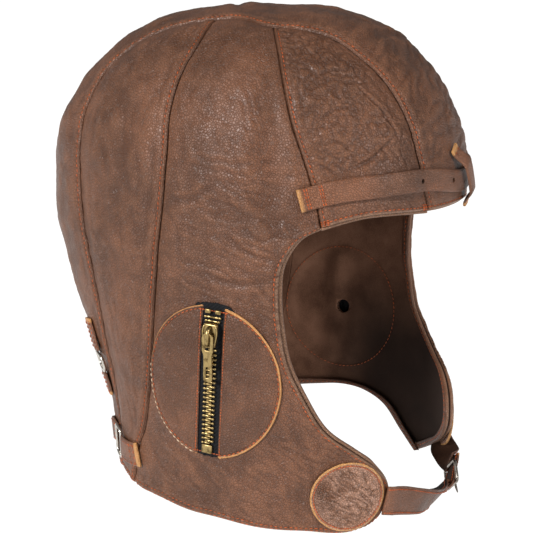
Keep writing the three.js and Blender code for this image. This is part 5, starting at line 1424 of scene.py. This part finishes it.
def drill(thing, at, along, radius):
    """Cuts a round hole through a piece and keeps its thickness."""
    bm = bmesh.new()
    bmesh.ops.create_cone(bm, cap_ends=True, segments=28, radius1=radius, radius2=radius, depth=DRILL_DEPTH)
    turn = Vector(along).to_track_quat("Z", "Y").to_matrix().to_4x4()
    bm.transform(Matrix.Translation(Vector(np.asarray(at).ravel())) @ turn)
    cutter = add_object("drill", mesh_of("drill", bm))
    cut = thing.modifiers.new("hole", "BOOLEAN")
    cut.operation = "DIFFERENCE"
    cut.solver = "EXACT"
    cut.object = cutter
    bpy.context.view_layer.update()
    shaped = bpy.data.meshes.new_from_object(thing.evaluated_get(bpy.context.evaluated_depsgraph_get()))
    thing.modifiers.clear()
    thing.data = shaped
    bpy.data.objects.remove(cutter)


def facing_of(panel, border, start, end):
    """Leather turned in over an edge of the shell and stitched down inside."""
    rows = list(panel.rows_from(border, panel.grid, start - 1e-9, end + 1e-9))
    columns = []
    for gaps, grid, normals in rows:
        inward = unit(grid[3] - grid[0])
        columns.append([
            at_length(grid, max(inset, 0) * MM, gaps) + inward * min(inset, 0) * MM + normals[0] * height * MM
            for inset, height, _ in FACING
        ])
    # All of it is lifted by the relief at the first seam of the panel's grid
    first = np.array([grid[0 if border == "first" else -1] for _, grid, _ in rows])
    return np.array(columns).swapaxes(0, 1) + (form_normal(first) * relief(first)[:, None])[None]


def make_facing(panels):
    edges = [("crown", "first", 0, 1), ("crown", "last", 0, 1)]
    for side in SIDES:
        edges += [(f"side_{side}", "right", SEAM_CELLS / BACK_CELLS, 1), (f"side_{side}", "last", 0, 1)]
        edges += [(f"front_{side}", "last", 0, 1), (f"rear_{side}", "last", 0, 1)]
    gathered, lines = bmesh.new(), []
    for name, border, start, end in edges:
        points = facing_of(panels[name], border, start, end)
        rubbed = np.broadcast_to(np.array([row[2] for row in FACING], float)[:, None], points.shape[:2])
        marks = {"rub_wear_and_painted_light": rubbed, "raw": 0 * rubbed}
        merge_into(gathered, face_out(lay(points, marks), CENTRE))
        lines.append((points[FACING_STITCHED], -form_normal(points[FACING_STITCHED])))
    bmesh.ops.recalc_face_normals(gathered, faces=gathered.faces)
    thicken(piece("edge_facing", gathered, SHELL), FACING_SKIN)
    return lines


# Patches, straps and metalwork
def chin_patch(side):
    """Round patch with a stitched edge that holds one end of the chin strap."""
    chart = CHINS[side]
    angles = np.linspace(0, 2 * np.pi, CHIN_PATCH_ROWS, endpoint=False)
    gaps = np.concatenate([ARC_EDGE, np.arange(*CHIN_PATCH_GAPS) * MM, [CHIN_PATCH_RADIUS]])
    reach = CHIN_PATCH_RADIUS - gaps
    s, t = np.sin(angles)[:, None] * reach, np.cos(angles)[:, None] * reach
    gap = np.broadcast_to(gaps[None, :], s.shape)
    run = np.broadcast_to(angles[:, None] * CHIN_PATCH_RADIUS, s.shape)
    p = chart.form(s, t)
    inside = smooth(1.2 * MM, 5 * MM, gap)
    bend = 1.3 * MM * furrows(p, (0.25, -0.75, -0.45), 34 * MM, 2.6 * MM, 66)
    bend += 0.3 * MM * furrows(p, (0.25, -0.75, -0.30), 9 * MM, 1.6 * MM, 69)
    bend += 0.8 * MM * noise(stretched(p, (0.25, -0.75, -0.4), 20 * MM, 7 * MM), 67)
    bend *= inside
    points, _ = chart.at(s, t, PATCH_TOP + 0.3 * MM + patch_rise(gap, run, 3, CHIN_PATCH_STITCH) + bend)
    # The second mark is painted highlight on the wrinkle crests and painted shade in the furrows
    marks = {"raw": 1 - smooth(0.8 * MM, 1.15 * MM, gap + 0.25 * MM * noise(p / (3 * MM), 68)),
             "rub_wear_and_painted_light": np.clip((bend - np.median(bend)) / (0.6 * MM), -0.8, 0.9)}
    bm = face_out(lay(points, marks, loop=True), CENTRE)
    patch = piece(f"leather_chin_patch_{side}", bm, GLOSSY, replaces=[f"chin_patch_{side}"])
    thicken(patch, CHIN_PATCH_SKIN)
    ring = np.append(angles, 2 * np.pi)
    inset = CHIN_PATCH_RADIUS - CHIN_PATCH_STITCH
    return [chart.at(inset * np.sin(ring), inset * np.cos(ring), PATCH_TOP + 0.1 * MM)]


def make_brow_strap():
    """Forehead strap with cut tan ends, bar stitches and punched holes."""
    line = strap_line(right_to_left(BROW_STRAP_ROWS), 170)
    strap, face = laid_strap("brow_strap", line, BROW_STRAP_WIDTH, REST, 1.1, 1, (True, True), 1.3 * MM)
    for row in BROW_HOLES:
        at = on_form(place(row, RIGHT))
        drill(strap, at, form_normal(at[None])[0], BROW_HOLE / 2)
    return cross_stitches(face, [3, 4, 9, 10, -5, -4, -11, -10])


def make_brow_loop():
    """Upright loop at the middle of the brow, which stands clear of the forehead strap that it holds."""
    line = strap_line(places(BROW_LOOP_ROWS), 60)
    share = np.linspace(0, 1, len(line))
    stand = np.minimum(smooth(0.05, 0.32, share), 1 - smooth(0.76, 0.97, share))
    lift = REST + (REST + STRAP + CLEAR) * 1.5 * stand
    _, face = laid_strap("brow_loop", line, BROW_LOOP_WIDTH, lift, 0.5, 2, (True, True), 2.0 * MM)
    return cross_stitches(face, [4, -5])


def wire_ring(name, points, normal, metal, node):
    piece(name, rod(points, WIRE / 2, normal, 12, loop=True), metal, replaces=[node])


def rounded(width, height, corner, per_corner=7):
    """Outline of a rectangle with round corners, about its middle, with three points on each straight side."""
    corners = []
    for k, (sx, sy) in enumerate(((1, 1), (-1, 1), (-1, -1), (1, -1))):
        turns = np.linspace(k, k + 1, per_corner)[:, None] * np.pi / 2
        middle = np.array([sx * (width / 2 - corner), sy * (height / 2 - corner)])
        corners.append(middle + corner * np.hstack([np.cos(turns), np.sin(turns)]))
    points = []
    for here, after in zip(corners, corners[1:] + corners[:1]):
        points += [*here, *(here[-1] * (1 - share) + after[0] * share for share in (0.25, 0.5, 0.75))]
    return np.array(points)


def ring_on_form(name, chart, width, height, lift, node):
    """A wire ring that lies on the leather, over its mean relief."""
    form = chart.form(*rounded(width, height, RING_CORNER).T)
    points = form + form_normal(form) * (np.mean(relief(form)) + lift)
    wire_ring(name, points, chart.n, NICKEL, node)


def make_nape():
    """Strap round the nape, held by a wire ring to a stitched tab."""
    ring = Chart(NAPE_RING, RIGHT, NAPE_TURN)
    ring_on_form("nape_buckle_wire", ring, RING_LENGTH, NAPE_STRAP_WIDTH + 2 * SIDE_PLAY + WIRE,
                 REST + CLEAR + WIRE / 2, "nape_buckle")
    gap = RING_OPENING / 2 + WIRE + WIRE / 2
    tab_line = strap_line([place(NAPE_ROWS[0], RIGHT), ring.form(gap, 0.0)], 26)
    _, tab = laid_strap("nape_tab", tab_line, NAPE_STRAP_WIDTH, REST, 0.5, 3, (True, False), 2.2 * MM)
    points = [ring.form(-gap, 0.0), ring.form(-gap - 6.5 * MM, 0.0), *right_to_left(NAPE_ROWS)[2:]]
    line = strap_line(points, 150)
    _, face = laid_strap("nape_strap", line, NAPE_STRAP_WIDTH, REST, 1.0, 4, (False, True), 2.6 * MM)
    lines = cross_stitches(tab, [4, 9]) + edge_lines(tab, NAPE_STRAP_WIDTH, (4, 1))
    return lines + cross_stitches(face, [3, -5, -9]) + edge_lines(face, NAPE_STRAP_WIDTH, (2, 3))


def make_retainers():
    """Upright keepers at the back, each a tab, a wire ring and a strap below it."""
    lines = []
    steps = np.linspace(0, 1, 30)
    for side, mirror in SIDES.items():
        chart = Chart(RETAINER_ROWS[1], mirror)
        ring_on_form(f"retainer_wire_{side}", chart, RETAINER_WIDTH + 2 * SIDE_PLAY + WIRE, RING_LENGTH,
                     RETAINER_PRESSED + WIRE / 2, f"retainer_ring_{side}")
        gap = RING_OPENING / 2 + WIRE + 1.2 * MM
        upper, lower = place(RETAINER_ROWS[0], mirror), place(RETAINER_ROWS[2], mirror)
        for part, ends, raised, rows, raw_ends in (
            ("tab", [upper, chart.form(0.0, gap)], smooth(0.3, 1.0, steps), (2, 5), (True, False)),
            ("strap", [chart.form(0.0, -gap), lower], 1 - smooth(0.0, 0.7, steps), (24, 27), (False, True)),
        ):
            lift = 0.1 * MM + 0.7 * RETAINER_PRESSED * raised
            _, face = laid_strap(f"retainer_{part}_leather_{side}", strap_line(ends, len(steps)), RETAINER_WIDTH, lift,
                                 0.6, 5, raw_ends, 2.0 * MM, f"retainer_{part}_{side}")
            lines += cross_stitches(face, rows) + edge_lines(face, RETAINER_WIDTH, (2, 2))
    return lines


def hanging_strap(name, middles, edges, seed, raw_end=False):
    """A chin strap that leaves the form, from its middles and the ways to its upper edge; gives its face."""
    ahead = unit(np.gradient(middles, axis=0))
    edges = unit(edges - np.sum(edges * ahead, axis=-1, keepdims=True) * ahead)
    q = middles[:, None] + edges[:, None] * (ACROSS[None, :, None] * CHIN_STRAP_WIDTH / 2)
    normals = np.broadcast_to(np.cross(edges, ahead)[:, None], q.shape)
    soft = 0.3 * MM * noise(q / (8 * MM), 100 + seed)
    half = STRAP / 2 * (1 - 0.5 * CORNERS)[None, :] + pressed(CHIN_STRAP_WIDTH, 1.6 * MM, 0.22 * MM, 0.45 * MM)
    upper = q + normals * (soft + half)[..., None]
    lower = (q + normals * (soft - half)[..., None])[:, ::-1]
    # The half of each ring that looks toward the head shows the flesh side, in near-black tones that are painted shade
    flesh = -int(np.sign(np.mean(np.sum(normals[:, 0] * (middles - CENTRE), axis=-1))))
    strap_piece(name, name, np.concatenate([upper, lower], axis=1), run_length(middles), (False, raw_end), 1.4 * MM,
                flesh)
    return q, normals, soft + half


def eased(values, reach):
    """Rows of values averaged over their neighbours, with the ends kept."""
    padded = np.pad(values, ((reach, reach), (0, 0)), mode="edge")
    soft = np.mean([padded[k:k + len(values)] for k in range(2 * reach + 1)], axis=0)
    keep = np.minimum(np.arange(len(values)), np.arange(len(values))[::-1])[:, None]
    return values + (soft - values) * np.clip(keep / reach, 0, 1)


class ChinBuckle:
    """Place of the buckle under the left chin patch: across its bars, down its length and out from the chin."""

    def __init__(self):
        turn = np.radians(BUCKLE_TURN)
        chart = CHINS["left"]
        self.bar = BUCKLE_OPENING / 2 + WIRE / 2

        def root(reach):
            return chart.at(np.sin(turn) * reach, -np.cos(turn) * reach, REST + STRAP / 2 + CLEAR)

        base = CHIN_PATCH_RADIUS + 2 * CLEAR
        self.start = root(base)[0]
        self.bend, self.out = root(base + FAR_STRAP_LENGTH / 3)
        down = self.bend - self.start
        self.down = unit(down - self.out * (down @ self.out))
        self.across = np.cross(self.down, self.out)
        reach = FAR_STRAP_LENGTH * 2 / 3 + CLEAR + self.bar + WIRE / 2
        self.middle = self.bend + self.down * reach

    def at(self, across, down, out):
        return self.middle + self.across * across + self.down * down + self.out * out


def chin_buckle_wires(buckle):
    """The frame of the buckle and its prong."""
    outline = rounded(CHIN_STRAP_WIDTH + 2 * SIDE_PLAY + WIRE, 2 * buckle.bar, BUCKLE_CORNER)
    points = np.array([buckle.at(across, down, 0) for across, down in outline])
    wire_ring("chin_buckle_wire", points, buckle.out, STEEL, "chin_buckle")
    over = WIRE / 2 + CLEAR + PRONG_WIRE / 2
    prong = curve_points([buckle.at(0, down, out) for down, out in (
        (-buckle.bar, over), (-buckle.bar * 0.2, over + 0.3 * MM), (buckle.bar, over),
        (buckle.bar + PRONG_PAST, over + 0.6 * MM),
    )])
    thin = np.interp(np.linspace(0, 1, len(prong)), [0, 0.8, 1], [1, 1, 0.55])
    bm = rod(prong, PRONG_WIRE / 2 * thin, buckle.out)
    piece("chin_prong_wire", bm, STEEL, replaces=["chin_prong"])


def far_chin_strap(buckle):
    """Short strap from under the left patch to the buckle."""
    left = CHINS["left"]
    top, rim = (left.at(np.sin(turn) * reach, -np.cos(turn) * reach, REST + STRAP / 2)[0]
                for turn, reach in FAR_STRAP_ROOT)
    bar = buckle.at(0, -buckle.bar - WIRE / 2 - CLEAR, 0)
    far = curve_points([top, rim, (rim + bar) / 2 + left.n * 0.6 * MM, bar], 14)
    ahead = buckle.across * np.sign(buckle.across @ left.s)
    edges = np.array([left.s, unit(left.s + 1.3 * FAR_STRAP_OUT), unit(ahead + 1.6 * FAR_STRAP_OUT), ahead])
    sides = at_length(edges, np.linspace(0, 3, len(far)), np.arange(4))
    return edge_lines(hanging_strap("chin_strap_far", far, sides, 1), CHIN_STRAP_WIDTH)


def near_chin_strap(buckle):
    """Long strap from under the right patch, below the chin and once through the buckle."""
    chart = CHINS["right"]
    roots = [CHIN_PATCH_RADIUS + 2 * CLEAR + share * CHIN_STRAP_WIDTH for share in CHIN_ROOT]
    rows = [(chart.at(s, -CHIN_ROOT_FALL * s, REST + STRAP / 2 + CLEAR)[0], chart.t) for s in roots]
    rows += [(place(row), unit(np.array(edge))) for row, edge in CHIN_STRAP_ROWS]
    over = WIRE / 2 + STRAP / 2 + 2 * CLEAR
    rows += [(buckle.at(0, down, out), buckle.across) for down, out in (
        (buckle.bar + STRAP_TAIL, -over - CLEAR), (buckle.bar, -over), (0, 0), (-buckle.bar, over),
        (-buckle.bar - STRAP_TAIL, over + 3 * CLEAR),
    )]
    middles, edges = (np.array(column) for column in zip(*rows))
    line = curve_points(middles, 24)
    sides = at_length(edges, np.linspace(0, len(rows) - 1, len(line)), np.arange(len(rows)))
    run = run_length(line)
    even = np.linspace(0, run[-1], 190)
    line, sides = eased(at_length(line, even, run), 12), eased(at_length(sides, even, run), 16)
    q, normals, top = hanging_strap("chin_strap_near", line, sides, 2, raw_end=True)
    return edge_lines((q, normals, top), CHIN_STRAP_WIDTH) + edge_lines((q, -normals, top), CHIN_STRAP_WIDTH)


def make_chin_straps():
    buckle = ChinBuckle()
    chin_buckle_wires(buckle)
    return far_chin_strap(buckle) + near_chin_strap(buckle)


def zip_pull(side):
    """Flat pull hanging from the slider's bridge, with an eye above and a slot below."""
    joint = next(j for j in frame["record"]["behaviour"]["joints"] if j["name"] == f"zip_pull_hinge_{side}")
    pivot, x = np.array(joint["pos_m"]), unit(np.array(joint["axis"]))
    out = unit(np.cross(x, UP))
    out = out * np.sign(out @ EARS[side].n)
    down, half = np.array(PULL_OUTLINE).T * MM
    bm = lay(pivot + UP * down[:, None, None] + x * (half[:, None] * PULL_ACROSS)[..., None])
    bmesh.ops.delete(bm, geom=[face for face in bm.faces if in_opening(face, pivot, x)], context="FACES")
    face_out(bm, Vector(pivot - out))
    thing = piece(f"pull_tab_{side}", bm, BRASS, f"pull_{side}", [f"zip_pull_{side}"])
    soft = thicken(thing, PULL_THICK, 0).modifiers.new("edges", "BEVEL")
    soft.width = 0.25 * MM
    soft.segments = 2


def in_opening(face, pivot, x):
    """True for the faces that leave the eye and the slot of a pull open."""
    middle = np.array(face.calc_center_median()) - pivot
    down, aside = middle[2] / MM, abs(middle @ x) / MM
    return any(aside < half and low < down < high for half, low, high in PULL_OPENINGS)


# Stitch lines of the shell
def shell_lines(panels):
    rows = [("crown", "left", STITCH_IN), ("crown", "right", STITCH_IN), ("crown", "first", STITCH_IN)]
    rows += [("crown", "last", inset) for inset in HEM_STITCHES]
    for side in SIDES:
        rows += [(f"front_{side}", "left", STITCH_IN), (f"front_{side}", "last", STITCH_IN)]
        rows += [(f"rear_{side}", "right", STITCH_IN), (f"side_{side}", "right", STITCH_IN, FACE_FROM, 1)]
        rows += [(f"{part}_{side}", "last", inset) for inset in HEM_STITCHES for part in ("side", "rear")]
    return [panels[name].line(*stretch) for name, *stretch in rows]


def bar_tacks(panels):
    """Short dense stitches across the lower ends of the front seams."""
    lines = []
    for side in SIDES:
        panel = panels[f"front_{side}"]
        for border in ("left", "right"):
            for inset in TACK_ROWS:
                row = int(np.argmin(np.abs(panel.gaps["last"][:, len(panel.u) // 2] - inset)))
                keep = np.flatnonzero(panel.gaps[border][row] < TACK_LENGTH)
                lines.append((panel.skin[row, keep] + panel.normals[row, keep] * 0.15 * MM, panel.normals[row, keep]))
    return lines


def lining_lines():
    """Stitched circles round the ear holes, seen on the lining."""
    angles = np.linspace(0, 2 * np.pi, 160)
    across, high = LINING_CIRCLE
    lines = []
    for ear in EARS.values():
        points, normals = ear.at(across * np.sin(angles), high * np.cos(angles), -LINING_FACE - 0.5 * MM)
        lines.append((points, -normals))
    return lines


panels = make_panels()
wrinkle(panels)
make_shell(panels)
make_lining(panels)
facing_lines = make_facing(panels)
orange_lines = shell_lines(panels) + facing_lines + lining_lines()
dense_lines, pale_lines = bar_tacks(panels), []
for side in SIDES:
    for forward in (True, False):
        arc_line, zip_line = ear_patch(side, forward)
        orange_lines.append(arc_line)
        dense_lines.append(zip_line)
    dense_lines += zip_ends(side)
    pale_lines += pale_ends(side)
    zip_tape(side)
    zip_teeth(side)
    zip_slider(side)
    zip_pull(side)
    dense_lines += chin_patch(side)
dense_lines += make_brow_strap() + make_chin_straps()
orange_lines += make_brow_loop() + make_nape() + make_retainers()
piece("thread_seams", seam_stitches(orange_lines, *SEAM_STITCH), ORANGE)
piece("thread_zips", seam_stitches(dense_lines, *DENSE_STITCH), ORANGE)
piece("thread_edges", seam_stitches(pale_lines, *LOOSE_STITCH), PALE)

# Camera, lamps and surroundings
def look_from(thing, azimuth, elevation, distance):
    """Stands a camera or lamp off the target, and turns it to look there."""
    a, e = np.radians(azimuth), np.radians(elevation)
    way = np.array([np.sin(a) * np.cos(e), -np.cos(a) * np.cos(e), np.sin(e)])
    thing.location = TARGET + way * distance
    thing.rotation_euler = Vector(way).to_track_quat("Z", "Y").to_euler()


lens = bpy.data.cameras.new("camera")
lens.lens = FOCAL_LENGTH
lens.sensor_width = SENSOR_WIDTH
lens.clip_start = NEAREST
camera = add_object("camera", lens)
look_from(camera, AZIMUTH, ELEVATION, DISTANCE)
bpy.context.scene.camera = camera
for name, (azimuth, elevation, power, across) in LAMPS.items():
    lamp = bpy.data.lights.new(name, "SUN")
    lamp.energy = power
    lamp.angle = np.radians(across)
    look_from(add_object(name, lamp), azimuth, elevation, 1)

world = bpy.data.worlds.new("studio")
world.use_nodes = True
world.node_tree.nodes.clear()
seen = add(world.node_tree, "ShaderNodeLightPath").outputs["Is Camera Ray"]
glow = add(world.node_tree, "ShaderNodeMapRange", {0: seen, 3: WORLD_LIGHT, 4: WORLD_SEEN})
sky = add(world.node_tree, "ShaderNodeBackground", {"Color": WHITE, "Strength": glow.outputs[0]})
add(world.node_tree, "ShaderNodeOutputWorld", {"Surface": sky.outputs[0]})
bpy.context.scene.world = world
bpy.context.scene.view_settings.view_transform = "Standard"

bm = bmesh.new()
bmesh.ops.create_grid(bm, x_segments=2, y_segments=2, size=FLOOR_SIZE)
bmesh.ops.translate(bm, vec=(0, 0, -FLOOR_DROP), verts=bm.verts)
floor = add_object("floor", mesh_of("floor", bm))
matt, _, shader, _ = blank("matt_paper")
shader.inputs["Base Color"].default_value = tone("#fbfbfa")
shader.inputs["Roughness"].default_value = 0.9
shader.inputs["Emission Color"].default_value = WHITE
shader.inputs["Emission Strength"].default_value = FLOOR_GLOW
floor.data.materials.append(matt)
